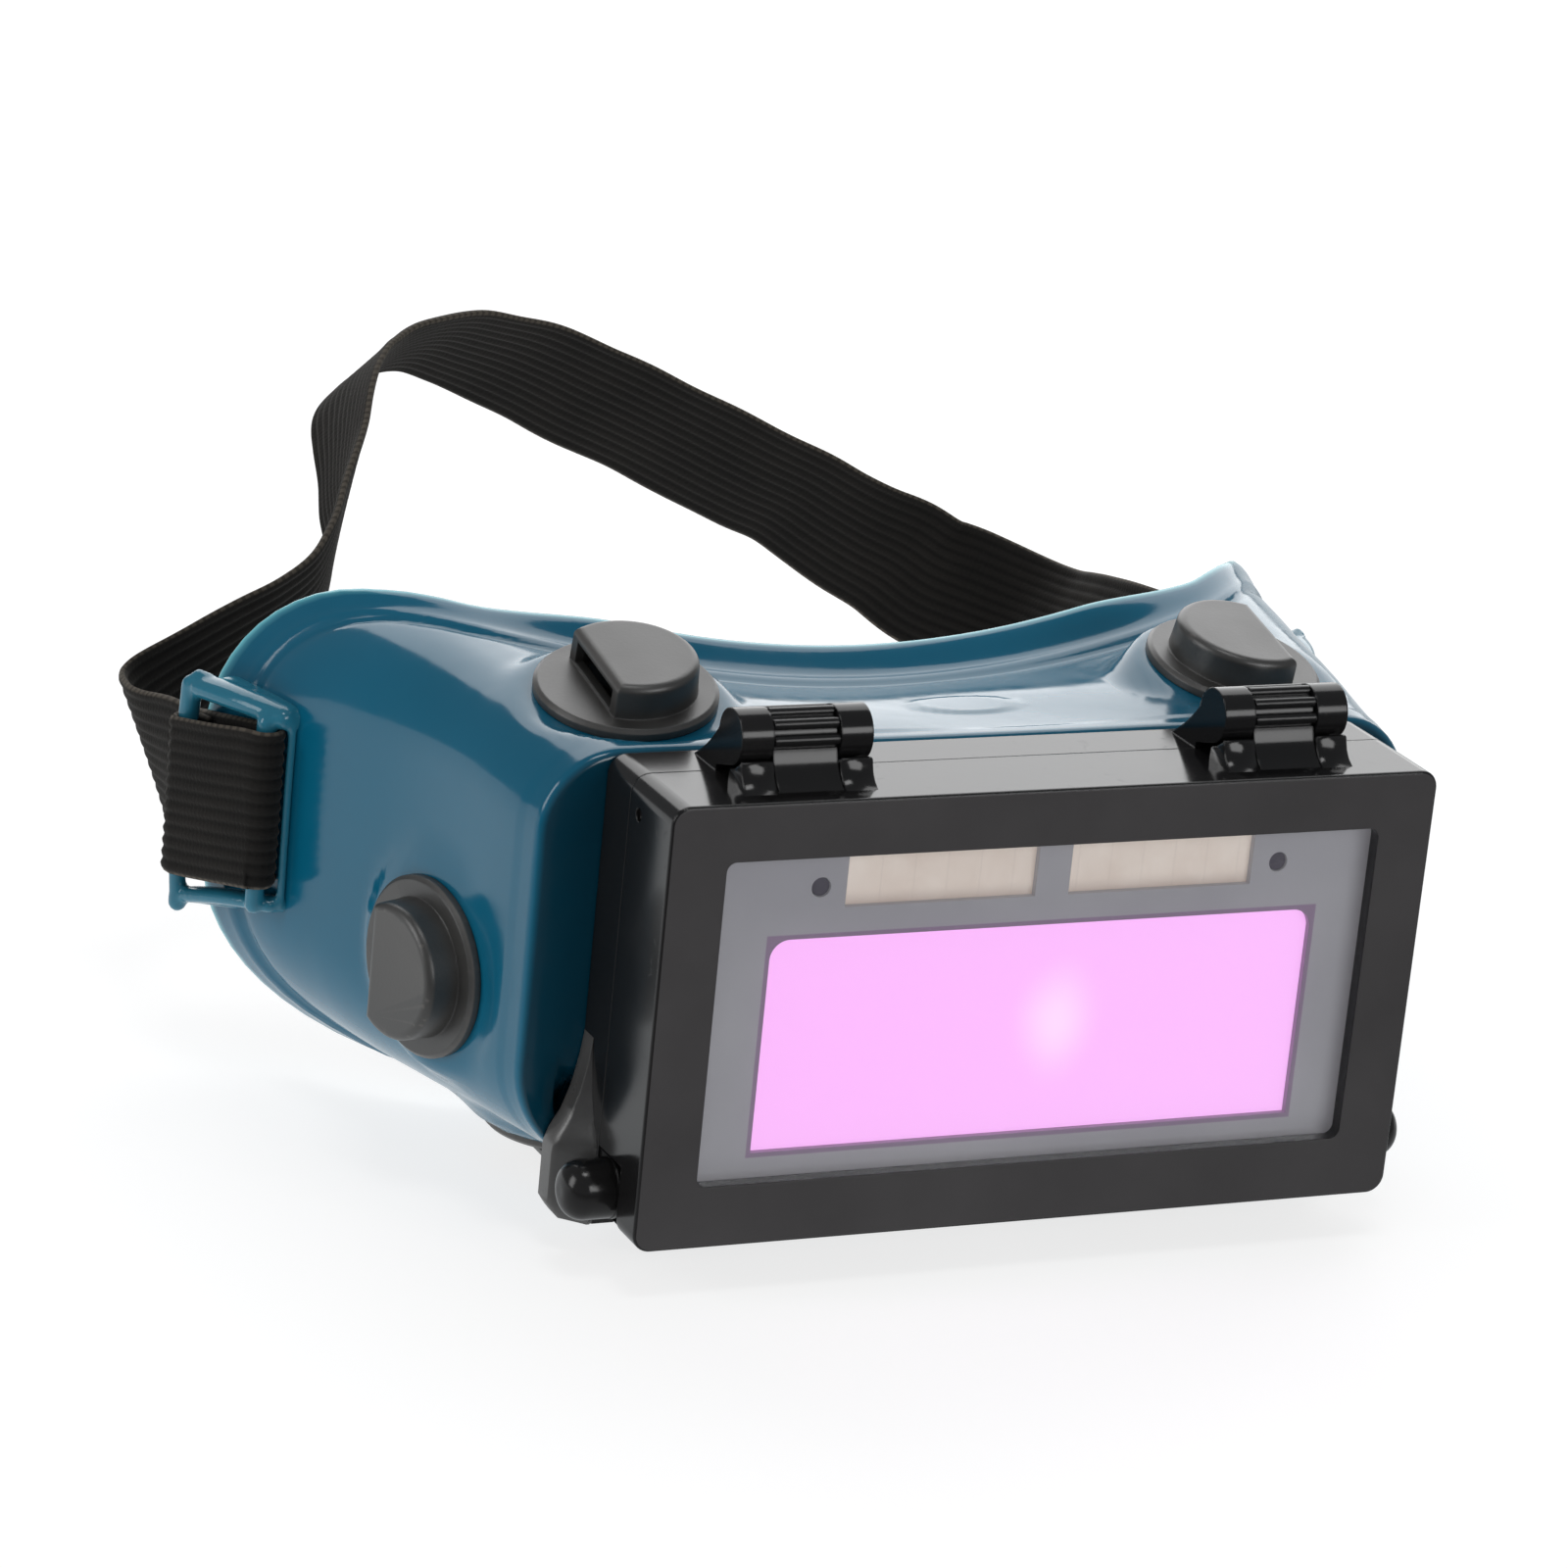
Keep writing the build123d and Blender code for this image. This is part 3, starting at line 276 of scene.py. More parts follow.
def grey_case(name):
    m = Mat(name)
    nz = m.noise(24.0, 4, 0.5)
    grain = m.noise(1400.0, 2, 0.6)
    p = m.sep(m.obj())
    # thin mauve line round the display opening
    ex = m.math("SUBTRACT", m.math("ABSOLUTE", m.math("SUBTRACT", p[0], 0.00085)), 0.04385)
    ez = m.math("SUBTRACT", m.math("ABSOLUTE", m.math("SUBTRACT", p[2], -0.00455)), 0.01625)
    dist = m.math("MAXIMUM", ex, ez)
    line = m.math("MULTIPLY", m.maprange(dist, 0.0, 0.0004, 1, 1), m.maprange(dist, 0.0006, 0.0008, 1, 0))
    col = m.mix(m.maprange(nz, 0.3, 0.7, 0, 1), srgb(148, 145, 149), srgb(162, 159, 162))
    col = m.mix(m.math("MULTIPLY", line, 0.6), col, srgb(120, 84, 122))
    bp = m.bump(grain, 0.12, 0.00015, m.bevel(0.0002))
    b = m.bsdf(**{"Base Color": col, "Roughness": 0.42, "Normal": bp})
    return m.done(b.outputs[0])


def solar(name):
    m = Mat(name)
    p = m.sep(m.obj())
    stripe = m.math("FRACT", m.math("MULTIPLY", p[0], 190.0))
    gridl = m.math("LESS_THAN", stripe, 0.05)
    nz = m.noise(120.0, 5, 0.6)
    col = m.mix(m.maprange(nz, 0.3, 0.7, 0, 1), srgb(226, 209, 196), srgb(238, 224, 212))
    col = m.mix(m.math("MULTIPLY", gridl, 0.07), col, srgb(150, 134, 128))
    shade = m.maprange(p[2], 0.0162, 0.0185, 0.35, 0.0, True)
    col = m.mix(shade, col, srgb(170, 150, 142))
    # painted fill light: the cells emit their own colour at 0.26
    b = m.bsdf(**{"Base Color": col, "Roughness": 0.4, "Coat Weight": 0.3, "Coat Roughness": 0.1, "Emission Color": col, "Emission Strength": 0.26})
    return m.done(b.outputs[0])


def simple(name, col, rough, metal=0.0, grain=900.0, streak=False):
    m = Mat(name)
    nz = m.noise(60.0, 4, 0.6)
    gv = m.noise(grain, 2, 0.6)
    c = m.mix(m.maprange(nz, 0.3, 0.7, 0, 1), tuple(x * 0.86 for x in col), tuple(min(1, x * 1.12) for x in col))
    bp = m.bump(gv, 0.15, 0.0002, m.bevel(0.0002))
    b = m.bsdf(**{"Base Color": c, "Roughness": m.maprange(nz, 0.3, 0.7, rough * 0.85, rough * 1.2), "Metallic": metal, "Normal": bp})
    return m.done(b.outputs[0])


def webbing(name):
    m = Mat(name)
    uv = m.sep(m.uv())          # u along in m, v across in m
    u, v = uv[0], uv[1]
    # picks crossing the ribs
    wv = m.math("SINE", m.math("MULTIPLY", u, 2 * math.pi / 0.0009))
    rib = m.math("SINE", m.math("MULTIPLY", v, 2 * math.pi / 0.00095))
    brick = m.math("SINE", m.math("ADD", m.math("MULTIPLY", u, 2 * math.pi / 0.0018), m.math("MULTIPLY", rib, 1.6)))
    fuzz = m.noise(2600.0, 2, 0.7)
    nz = m.noise(70.0, 4, 0.6)
    h = m.math("ADD", m.math("MULTIPLY", wv, 0.07), m.math("MULTIPLY", brick, 0.05))
    h = m.math("ADD", h, m.math("MULTIPLY", fuzz, 0.8))
    col = m.mix(m.maprange(nz, 0.3, 0.7, 0, 1), srgb(22, 21, 20), srgb(30, 28, 26))
    # painted shade: the gaps between the ribs darkened towards near black
    rib_gap_shade = m.math("COSINE", m.math("MULTIPLY", v, 2 * math.pi / (0.025 / 13)))
    col = m.mix(m.maprange(rib_gap_shade, -1.0, 0.2, 0.65, 0.0), col, srgb(4, 4, 4))
    col = m.mix(m.maprange(h, 0.1, 1.1, 0, 0.30), col, srgb(46, 43, 39))
    # paler selvedge thread with spaced stitches
    ev = m.math("ABSOLUTE", v)
    edge = m.maprange(ev, 0.0119, 0.0122, 0, 1)
    dots = m.math("GREATER_THAN", m.math("SINE", m.math("MULTIPLY", u, 2 * math.pi / 0.0014)), -0.2)
    col = m.mix(m.math("MULTIPLY", m.math("ADD", m.math("MULTIPLY", edge, dots), edge), 0.35), col, srgb(96, 89, 80))
    bp = m.bump(h, 0.5, 0.00022)
    b = m.bsdf(**{"Base Color": col, "Roughness": 0.82, "Normal": bp, "Sheen Weight": 0.12, "Sheen Roughness": 0.45, "Specular IOR Level": 0.18})
    b.inputs["Sheen Tint"].default_value = (0.55, 0.52, 0.48, 1)
    return m.done(b.outputs[0])


M_GLOSS = black_gloss("black_gloss")
M_FLIP = black_gloss("black_gloss_satin_front", satin_front=True)
M_VENT = black_satin("vent_black")
M_FLARE = black_satin("corner_black", (48, 47, 47), (88, 86, 84), 0.30)
M_INNER = black_satin("inner_black", (34, 34, 35), (70, 70, 70), 0.42)
M_PVC = pvc("pvc_teal")
M_CLEAR = clear("clear_polycarbonate")
M_CLEARW = clear("clear_window", haze=0.03)
M_PINK = pink("filter_pink")
M_CASE = grey_case("filter_case_grey")
# painted fill light: the filter case emits its own base colour at 0.30
for nd_ in M_CASE.node_tree.nodes:
    if nd_.type == "BSDF_PRINCIPLED":
        src = nd_.inputs["Base Color"].links[0].from_socket
        M_CASE.node_tree.links.new(src, nd_.inputs["Emission Color"])
        nd_.inputs["Emission Strength"].default_value = 0.30
M_SOLAR = solar("solar_beige")
M_LCD = simple("lcd_dark", (0.04, 0.05, 0.035), 0.12)
M_SENS = simple("sensor_dark", (0.13, 0.115, 0.14), 0.25)
M_BOARD = simple("board_green", (0.02, 0.14, 0.06), 0.4)
M_CELL = simple("cell_steel", (0.62, 0.62, 0.62), 0.3, 1.0)
M_SPRING = simple("spring_steel", (0.10, 0.10, 0.11), 0.35, 0.9)
M_RUBBER = simple("gasket_rubber", (0.02, 0.02, 0.02), 0.7)
M_WEB = webbing("webbing_black")

assign = {
    "rear_housing": M_GLOSS, "flip_frame": M_FLIP, "front_cover_lens": M_CLEARW, "inner_cover_lens": M_CLEAR, "fixed_clear_lens": M_CLEAR,
    "filter_case_front": M_CASE, "filter_case_back": M_CASE, "uv_ir_filter_glass": M_PINK, "lcd_shutter": M_LCD, "solar_cells": M_SOLAR,
    "light_sensors": M_SENS, "control_board": M_BOARD, "coin_cells": M_CELL, "filter_retainer": M_INNER, "lens_gasket": M_RUBBER,
    "clear_lens_retainer": M_INNER, "hinge_pin_left": M_SPRING, "hinge_pin_right": M_SPRING, "detent_leaves": M_SPRING, "strap_slider": M_INNER,
}
for n, o in NODES.items():
    mat = assign.get(n, M_VENT)
    o.data.materials.clear()
    o.data.materials.append(mat)
    o.data.polygons.foreach_set("use_smooth", [True] * len(o.data.polygons))
    o.data.set_sharp_from_angle(angle=math.radians(32))
    o.data.update()


# ------------------------------------------------------------------ mesh helper
def new_mesh(name, verts, faces, mat, smooth=True, uv=None, attr=None):
    me = bpy.data.meshes.new(name)
    me.from_pydata([tuple(map(float, v)) for v in verts], [], [tuple(int(i) for i in f) for f in faces])
    me.validate()
    me.update()
    ob = bpy.data.objects.new(name, me)
    bpy.context.scene.collection.objects.link(ob)
    me.materials.append(mat)
    if smooth:
        me.polygons.foreach_set("use_smooth", [True] * len(me.polygons))
    if uv is not None:
        lay = me.uv_layers.new(name="UVMap")
        for lp in me.loops:
            lay.data[lp.index].uv = uv[lp.vertex_index]
    if attr is not None:
        for k, vals in attr.items():
            at = me.attributes.new(k, "FLOAT", "POINT")
            at.data.foreach_set("value", np.asarray(vals, np.float32))
    return ob


def recalc(ob):
    bm = bmesh.new()
    bm.from_mesh(ob.data)
    bmesh.ops.recalc_face_normals(bm, faces=bm.faces)
    bm.to_mesh(ob.data)
    bm.free()
    ob.data.update()


# ------------------------------------------------------------------ soft body
ST = np.array([
    (24.05, 67.8, 31.8, 31.8, -31.0, -31.0, 10.5, 10.5),
    (26.00, 71.3, 34.0, 33.6, -30.4, -30.2, 12.5, 16.6),
    (45.00, 74.3, 35.3, 32.2, -31.2, -26.9, 12.6, 15.4),
    (62.00, 77.9, 35.9, 28.9, -33.2, -19.5, 13.6, 17.8),
    (80.00, 83.3, 36.5, 26.4, -34.2, -8.0, 16.5, 21.5),
    (96.00, 88.7, 36.9, 26.0, -35.1, -2.0, 22.0, 25.5),
    (112.0, 91.2, 36.2, 26.0, -36.0, 0.0, 26.5, 28.0)])
RIM = np.array([(0, 73.0), (20, 73.2), (40, 74.6), (60, 79.0), (70, 87.0), (78, 97.0), (85, 103.5), (92, 107.5), (104, 110.5)])


def pchip(xs, ys, x):
    xs, ys = np.asarray(xs, float), np.asarray(ys, float)
    h = np.diff(xs)
    d = np.diff(ys) / h
    m = np.zeros(len(xs))
    m[0], m[-1] = d[0], d[-1]
    for i in range(1, len(xs) - 1):
        if d[i - 1] * d[i] > 0:
            w1, w2 = 2 * h[i] + h[i - 1], h[i] + 2 * h[i - 1]
            m[i] = (w1 + w2) / (w1 / d[i - 1] + w2 / d[i])
    x = np.clip(x, xs[0], xs[-1])
    k = np.clip(np.searchsorted(xs, x) - 1, 0, len(xs) - 2)
    t = (x - xs[k]) / h[k]
    return ((1 + 2 * t) * (1 - t) ** 2) * ys[k] + t * (1 - t) ** 2 * h[k] * m[k] + t * t * (3 - 2 * t) * ys[k + 1] + t * t * (t - 1) * h[k] * m[k + 1]


def station(Y):
    """section values at Y; smooth from the front edge back"""
    return [pchip(ST[1:, 0], ST[1:, k], Y) for k in range(1, 8)]


def rim_y(x):
    return pchip(RIM[:, 0], RIM[:, 1], np.abs(x))


NT, NC, NS, NB = 44, 14, 14, 46


def ring(a, zs, zc, zbs, zbc, rt, rb):
    """half section from top centre round to bottom centre"""
    pts = []
    for i in range(NT):
        pts.append(((a - rt) * i / (NT - 1), zs, 0, 1))
    for i in range(1, NC):
        t = math.pi / 2 * i / NC
        pts.append((a - rt + rt * math.sin(t), zs - rt + rt * math.cos(t), math.sin(t), math.cos(t)))
    for i in range(NS):
        f = i / (NS - 1)
        pts.append((a, (zs - rt) * (1 - f) + (zbs + rb) * f, 1, 0))
    for i in range(1, NC):
        t = math.pi / 2 * i / NC
        pts.append((a - rb + rb * math.cos(t), zbs + rb - rb * math.sin(t), math.cos(t), -math.sin(t)))
    for i in range(NB):
        pts.append(((a - rb) * (1 - i / (NB - 1)), zbs, 0, -1))
    xs, xn = 0.78 * a, 27.0
    out = []
    for x, z, nx, nz in pts:
        if nz > 0.5 and x < xs:
            z = z - (zs - zc) * (1 - (x / xs) ** 2) ** 1.4
        if nz < -0.5 and x < xn:
            z = z + (zbc - zbs) * (1 - (x / xn) ** 2) ** 2
        out.append((x, z))
    return np.array(out)


NH = len(ring(*ST[2][1:]))


def section_table():
    Ys = np.linspace(26.0, 112.0, 173)
    tab = []
    for Y in Ys:
        tab.append(ring(*[float(v) for v in station(Y)]))
    return Ys, np.array(tab)


YS, TAB = section_table()


def sample(i, Y):
    """point i of the half section at Y"""
    k = np.clip((Y - YS[0]) / (YS[1] - YS[0]), 0, len(YS) - 1.0001)
    j = int(k)
    f = k - j
    return TAB[j, i] * (1 - f) + TAB[j + 1, i] * f


def smooth(a, b, x):
    t = np.clip((x - a) / (b - a), 0, 1)
    return t * t * (3 - 2 * t)


NV = 74
grid = np.zeros((NV, NH, 3))
for i in range(NH):
    for j in range(NV):
        v = (j / (NV - 1))
        v = v ** 0.95
        Y = 60.0
        for _ in range(14):
            x = sample(i, Y)[0]
            Y = 26.0 + v * (float(rim_y(x)) - 26.0)
        q = sample(i, Y)
        grid[j, i] = (q[0], Y, q[1])

# front wall: from the neck opening out to the rounded front edge
op = ring(56.6, 28.3, 28.3, -28.3, -28.3, 1.8, 1.8)
first = grid[0]
out_r = first[:, [0, 2]]
cen = np.array([0.0, 0.8])
rows = []
for f in (0.0, 0.10, 0.25, 0.42, 0.60, 0.76, 0.90):
    d = (out_r - op)
    ln = np.linalg.norm(d, axis=1)[:, None]
    tgt = op + d * np.clip((ln - 1.9) / ln, 0.05, 1)
    p = op * (1 - f / 0.9) + tgt * (f / 0.9)
    rows.append(np.c_[p[:, 0], np.full(NH, 24.1 + 0.25 * (f / 0.9) ** 2), p[:, 1]])
d = (out_r - op)
ln = np.linalg.norm(d, axis=1)[:, None]
tgt = op + d * np.clip((ln - 1.9) / ln, 0.05, 1)
for k in range(1, 7):
    t = math.pi / 2 * k / 7
    p = tgt + (out_r - tgt) * math.sin(t)
    y = 24.35 + (26.0 - 24.35) * (1 - math.cos(t)) + 0.0
    rows.append(np.c_[p[:, 0], np.full(NH, y), p[:, 1]])
half = np.concatenate([np.array(rows), grid], 0)
NROW = half.shape[0]
JW = len(rows)

# mirrored full ring
full = np.concatenate([half, (half[:, 1:-1] * [-1, 1, 1])[:, ::-1]], 1)
NR = full.shape[1]


def normals(g):
    du = np.roll(g, -1, 1) - np.roll(g, 1, 1)
    dv = np.zeros_like(g)
    dv[1:-1] = g[2:] - g[:-2]
    dv[0] = g[1] - g[0]
    dv[-1] = g[-1] - g[-2]
    n = np.cross(du, dv)
    n /= np.linalg.norm(n, axis=2)[:, :, None] + 1e-12
    return n


nrm = normals(full)
# outward check at the right flank
if nrm[JW + 20, NT + NC + 4, 0] < 0:
    nrm = -nrm
X, Y, Z = full[..., 0], full[..., 1], full[..., 2]
sdist = rim_y(X) - Y                      # distance in front of the rim
# distance from the rim along the surface
seg = np.linalg.norm(np.diff(full, axis=0), axis=2)
dist = np.zeros(full.shape[:2])
dist[:-1] = np.cumsum(seg[::-1], 0)[::-1]
inband = np.arange(NROW)[:, None] > JW + 4
amp = 0.5 + 0.9 * smooth(-8, 14, Z) + 2.6 * smooth(64, 40, np.abs(X)) * smooth(10, 20, Z)
flange = np.where(inband, 0.9 * smooth(9.4, 6.8, dist) + amp * smooth(7.0, 0.0, dist) ** 1.3 - 0.22 * np.exp(-((dist - 9.4) / 1.0) ** 2), 0)
full = full + nrm * flange[..., None]
# two faint mould swellings on the brow and shallow ripples, as in soft moulded skin
full = full + nrm * (0.22 * np.sin(X * 0.11 + 0.6) * np.sin(Y * 0.14) * smooth(0, 14, dist) * (np.arange(NROW)[:, None] > JW + 3))[..., None]
# plain raised oval on the brow between the hinges
oc = np.array([3.4, 42.0])
e = np.sqrt(((full[..., 0] - oc[0]) / 9.2) ** 2 + ((full[..., 1] - oc[1]) / 5.2) ** 2)
on_top = (full[..., 2] > 15) & (np.arange(NROW)[:, None] > JW)
full[..., 2] += np.where(on_top, 0.28 * smooth(1.0, 0.86, e), 0)

# vent seats
ct, st = math.cos(math.radians(14.5)), math.sin(math.radians(14.5))
tx, ty = math.sin(math.radians(4)), math.sin(math.radians(12))
tz = math.sqrt(1 - tx * tx - ty * ty)
VENTS = [((-50.4, 45.2, 35.3), (-tx, -ty, tz)), ((50.4, 45.2, 35.3), (tx, -ty, tz)), ((-76.2, 50.0, -7.4), (-ct, -st, 0)), ((76.2, 50.0, -7.4), (ct, -st, 0)),
         ((-49.2, 53.7, -33.7), (0, 0, -1)), ((49.2, 53.7, -33.7), (0, 0, -1))]
hole = np.zeros(full.shape[:2], bool)


def seat(g, drop=0.0):
    hl = np.zeros(g.shape[:2], bool)
    for c, n in VENTS:
        c, n = np.array(c, float), np.array(n, float)
        rel = g - c
        h = rel @ n
        rad = np.linalg.norm(rel - h[..., None] * n, axis=2)
        near = (np.abs(h) < 9) & (rad < 20) & (np.arange(NROW)[:, None] > JW - 3)
        w = np.where(near, smooth(18.6, 14.5, rad), 0)
        g += (n * ((-h - 0.02 - drop) * w)[..., None])
        hl |= near & (rad < 9.9)
    return hl


hole = seat(full)
# pockets for the housing's lower corner lugs
x, y, z = full[..., 0], full[..., 1], full[..., 2]
ax = np.abs(x)
pk = smooth(55.6, 57.2, ax) * smooth(64.4, 62.4, ax) * smooth(-16.6, -18.8, z)
full[..., 1] = np.where((y < 31) & (pk > 0), y + (np.maximum(30.2, y) - y) * pk, y)
nrm2 = normals(full)
if nrm2[JW + 20, NT + NC + 4, 0] < 0:
    nrm2 = -nrm2
thick = 1.05 + 1.15 * smooth(0.0, 12.0, dist)
inner = full - nrm2 * thick[..., None]
# front wall inside face is a plane behind the wall
inner[0] = full[0] + [0, 2.2, 0]
for j in range(1, JW):
    w = j / JW
    flat = full[j] + [0, 2.2, 0]
    inner[j] = flat * (1 - w ** 6) + inner[j] * w ** 6
seat(inner, 3.4)

# rolled lip beyond the rim
lip_rows = []
tv = full[-1] - full[-3]
tv /= np.linalg.norm(tv, axis=1)[:, None]
mid = (full[-1] + inner[-1]) / 2
off = full[-1] - mid
for k in range(1, 6):
    t = math.pi * k / 6
    lip_rows.append(mid + off * math.cos(t) + tv * np.linalg.norm(off, axis=1)[:, None] * 1.15 * math.sin(t))
verts, faces = [], []
V_all = np.concatenate([full, np.array(lip_rows), inner[::-1]], 0)
rows_n = V_all.shape[0]
glow = np.zeros(V_all.shape[:2])
glow[NROW - 1:NROW + 6] = 0.85
glow[NROW - 2] = 0.25
shade = np.zeros(V_all.shape[:2])
shade[:JW - 5] = 1.0
shade[JW - 5] = 0.7
shade[JW - 4] = 0.35
shade[NROW + 5:] = 0.25
hole_all = np.concatenate([hole, np.zeros((5, NR), bool), hole[::-1]], 0)
idx = lambda j, i: j * NR + (i % NR)
cell_keep = np.ones((rows_n - 1, NR), bool)
for j in range(NROW - 1):
    hh = hole[j] & hole[j + 1] & np.roll(hole[j], -1) & np.roll(hole[j + 1], -1)
    cell_keep[j] = ~hh
    cell_keep[rows_n - 2 - j] = ~hh
for j in range(rows_n - 1):
    for i in range(NR):
        if cell_keep[j, i]:
            faces.append((idx(j, i), idx(j, i + 1), idx(j + 1, i + 1), idx(j + 1, i)))
# close the front opening edge
for i in range(NR):
    faces.append((idx(rows_n - 1, i), idx(rows_n - 1, i + 1), idx(0, i + 1), idx(0, i)))
# walls of the vent holes
for j in range(NROW - 1):
    for i in range(NR):
        if cell_keep[j, i]:
            continue
        jj = rows_n - 1 - j
        if j > 0 and cell_keep[j - 1, i]:
            faces.append((idx(j, i), idx(j, i + 1), idx(jj, i + 1), idx(jj, i)))
        if j < NROW - 2 and cell_keep[j + 1, i]:
            faces.append((idx(j + 1, i), idx(j + 1, i + 1), idx(jj - 1, i + 1), idx(jj - 1, i)))
        if cell_keep[j, (i - 1) % NR]:
            faces.append((idx(j, i), idx(j + 1, i), idx(jj - 1, i), idx(jj, i)))
        if cell_keep[j, (i + 1) % NR]:
            faces.append((idx(j, i + 1), idx(j + 1, i + 1), idx(jj - 1, i + 1), idx(jj, i + 1)))
body = new_mesh("goggle_skin", V_all.reshape(-1, 3) * S, faces, M_PVC, attr={"edge_glow": glow.reshape(-1), "wall_shade": shade.reshape(-1)})
bm = bmesh.new()
bm.from_mesh(body.data)
loose = [v for v in bm.verts if not v.link_faces]
bmesh.ops.delete(bm, geom=loose, context="VERTS")
bmesh.ops.recalc_face_normals(bm, faces=bm.faces)
bm.to_mesh(body.data)
bm.free()
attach(body, "goggle")


# strap lugs: two rounded webs and two posts, one mesh each side
def tube(path, radii, n=20, flat=None):
    """closed swept tube with flat end caps, in mm"""
    path = [Vector(p) for p in path]
    vs, fs = [], []
    up = Vector((0, 0, 1))
    frames = []
    for i, p in enumerate(path):
        t = (path[min(i + 1, len(path) - 1)] - path[max(i - 1, 0)]).normalized()
        a = up if abs(t.z) < 0.8 else Vector((0, 1, 0))
        u = (a - t * a.dot(t)).normalized()
        w = t.cross(u)
        frames.append((p, u, w, radii[i]))
    for p, u, w, r in frames:
        ru, rw = r if isinstance(r, tuple) else (r, r)
        for k in range(n):
            q = 2 * math.pi * k / n
            vs.append(p + u * (ru * math.sin(q)) + w * (rw * math.cos(q)))
    m = len(path)
    for i in range(m - 1):
        for k in range(n):
            fs.append((i * n + k, i * n + (k + 1) % n, (i + 1) * n + (k + 1) % n, (i + 1) * n + k))
    fs.append(tuple(range(n))[::-1])
    fs.append(tuple((m - 1) * n + k for k in range(n)))
    return [tuple(v) for v in vs], fs


def capped(path, r, n=20, steps=4):
    """tube with domed ends"""
    path = [Vector(p) for p in path]
    a = (path[0] - path[1]).normalized()
    b = (path[-1] - path[-2]).normalized()
    rr = r if isinstance(r, tuple) else (r, r)
    e = min(rr)
    P, R = [], []
    for k in range(steps, 0, -1):
        t = math.pi / 2 * k / steps
        P.append(path[0] + a * e * math.sin(t))
        R.append((max(rr[0] * math.cos(t), 0.05), max(rr[1] * math.cos(t), 0.05)))
    for p in path:
        P.append(p)
        R.append(rr)
    for k in range(1, steps + 1):
        t = math.pi / 2 * k / steps
        P.append(path[-1] + b * e * math.sin(t))
        R.append((max(rr[0] * math.cos(t), 0.05), max(rr[1] * math.cos(t), 0.05)))
    return tube(P, R, n)


for sx, nm in ((-1, "strap_lug_left"), (1, "strap_lug_right")):
    V, F = [], []

    def put(vf):
        b = len(V)
        V.extend(vf[0])
        F.extend([tuple(b + i for i in f) for f in vf[1]])

    def bar(z0, z1, ru, rw, bow=0.8):
        out = []
        for i in range(9):
            f = i / 8
            out.append((sx * (87.1 + 7.7 * f + bow * math.sin(math.pi * f)), 87.2 + 15.2 * f, z0 + (z1 - z0) * f + 0.5 * math.sin(math.pi * f)))
        put(capped(out, (ru, rw)))

    # fat upper and lower bars standing off the skin
    bar(19.3, 19.6, 1.9, 2.6)
    shelf = []
    for i in range(7):
        f = i / 6
        shelf.append((sx * (85.9 + 5.2 * f + 0.6 * math.sin(math.pi * f)), 89.0 + 12.4 * f, 19.5 + 0.3 * f))
    put(capped(shelf, (1.7, 3.2)))
    bar(-10.6, -14.0, 1.3, 2.2)
    for z0, ru in ((19.5, 1.7), (-10.8, 1.2)):
        put(capped([(sx * 84.0, 87.6, z0 - 0.3), (sx * 86.2, 87.9, z0), (sx * 88.8, 88.4, z0)], (ru, 2.0)))
    for z1, ru in ((19.4, 1.6), (-14.0, 1.2)):
        put(capped([(sx * 88.6, 98.6, z1), (sx * 91.5, 100.4, z1), (sx * 94.8, 102.4, z1)], (ru, 2.0)))
    # front post behind a thin wall, rear post bowed outwards with a finger on top
    put(capped([(sx * 90.0, 87.6, 18.6), (sx * 90.0, 87.6, 8), (sx * 90.0, 87.6, -2), (sx * 90.0, 87.6, -10.6)], 1.5))
    put(capped([(sx * 94.6, 102.2, 20.6), (sx * 95.6, 103.2, 20.9), (sx * 96.3, 104.0, 19.8)], 1.35))
    put(capped([(sx * 96.4, 104.2, 19.4), (sx * 96.5, 104.3, 14.6)], 1.65))
    put(capped([(sx * 96.5, 104.3, 14.6), (sx * 97.0, 104.9, 9), (sx * 97.1, 105.1, 0), (sx * 96.8, 104.6, -9), (sx * 96.4, 104.2, -15.0)], (1.35, 1.35)))
    put(capped([(sx * 95.2, 102.8, -14.2), (sx * 96.4, 104.2, -15.2)], 1.2))
    put(capped([(sx * 96.4, 104.2, -14.8), (sx * 96.4, 104.2, -15.8)], 1.5))
    # low wall in front of the webbing
    put(capped([(sx * 86.2, 86.2, 18.6), (sx * 86.3, 86.25, 8), (sx * 86.3, 86.25, -2), (sx * 86.2, 86.2, -10.4)], 0.72))
    lug = new_mesh(nm, np.array(V) * S, F, M_PVC, attr={"edge_glow": np.full(len(V), 0.12)})
    recalc(lug)
    md = lug.modifiers.new("remesh", "REMESH")
    md.mode = "VOXEL"
    md.voxel_size = 0.00045
    md.use_smooth_shade = True
    sm = lug.modifiers.new("soft", "SMOOTH")
    sm.factor = 0.5
    sm.iterations = 5
    dg = bpy.context.evaluated_depsgraph_get()
    me = bpy.data.meshes.new_from_object(lug.evaluated_get(dg))
    lug.modifiers.clear()
    lug.data = me
    me.materials.clear()
    me.materials.append(M_PVC)
    me.polygons.foreach_set("use_smooth", [True] * len(me.polygons))
    at = me.attributes.get("edge_glow") or me.attributes.new("edge_glow", "FLOAT", "POINT")
    at.data.foreach_set("value", np.full(len(me.vertices), 0.10, np.float32))
    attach(lug, "goggle")
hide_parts("goggle_body")

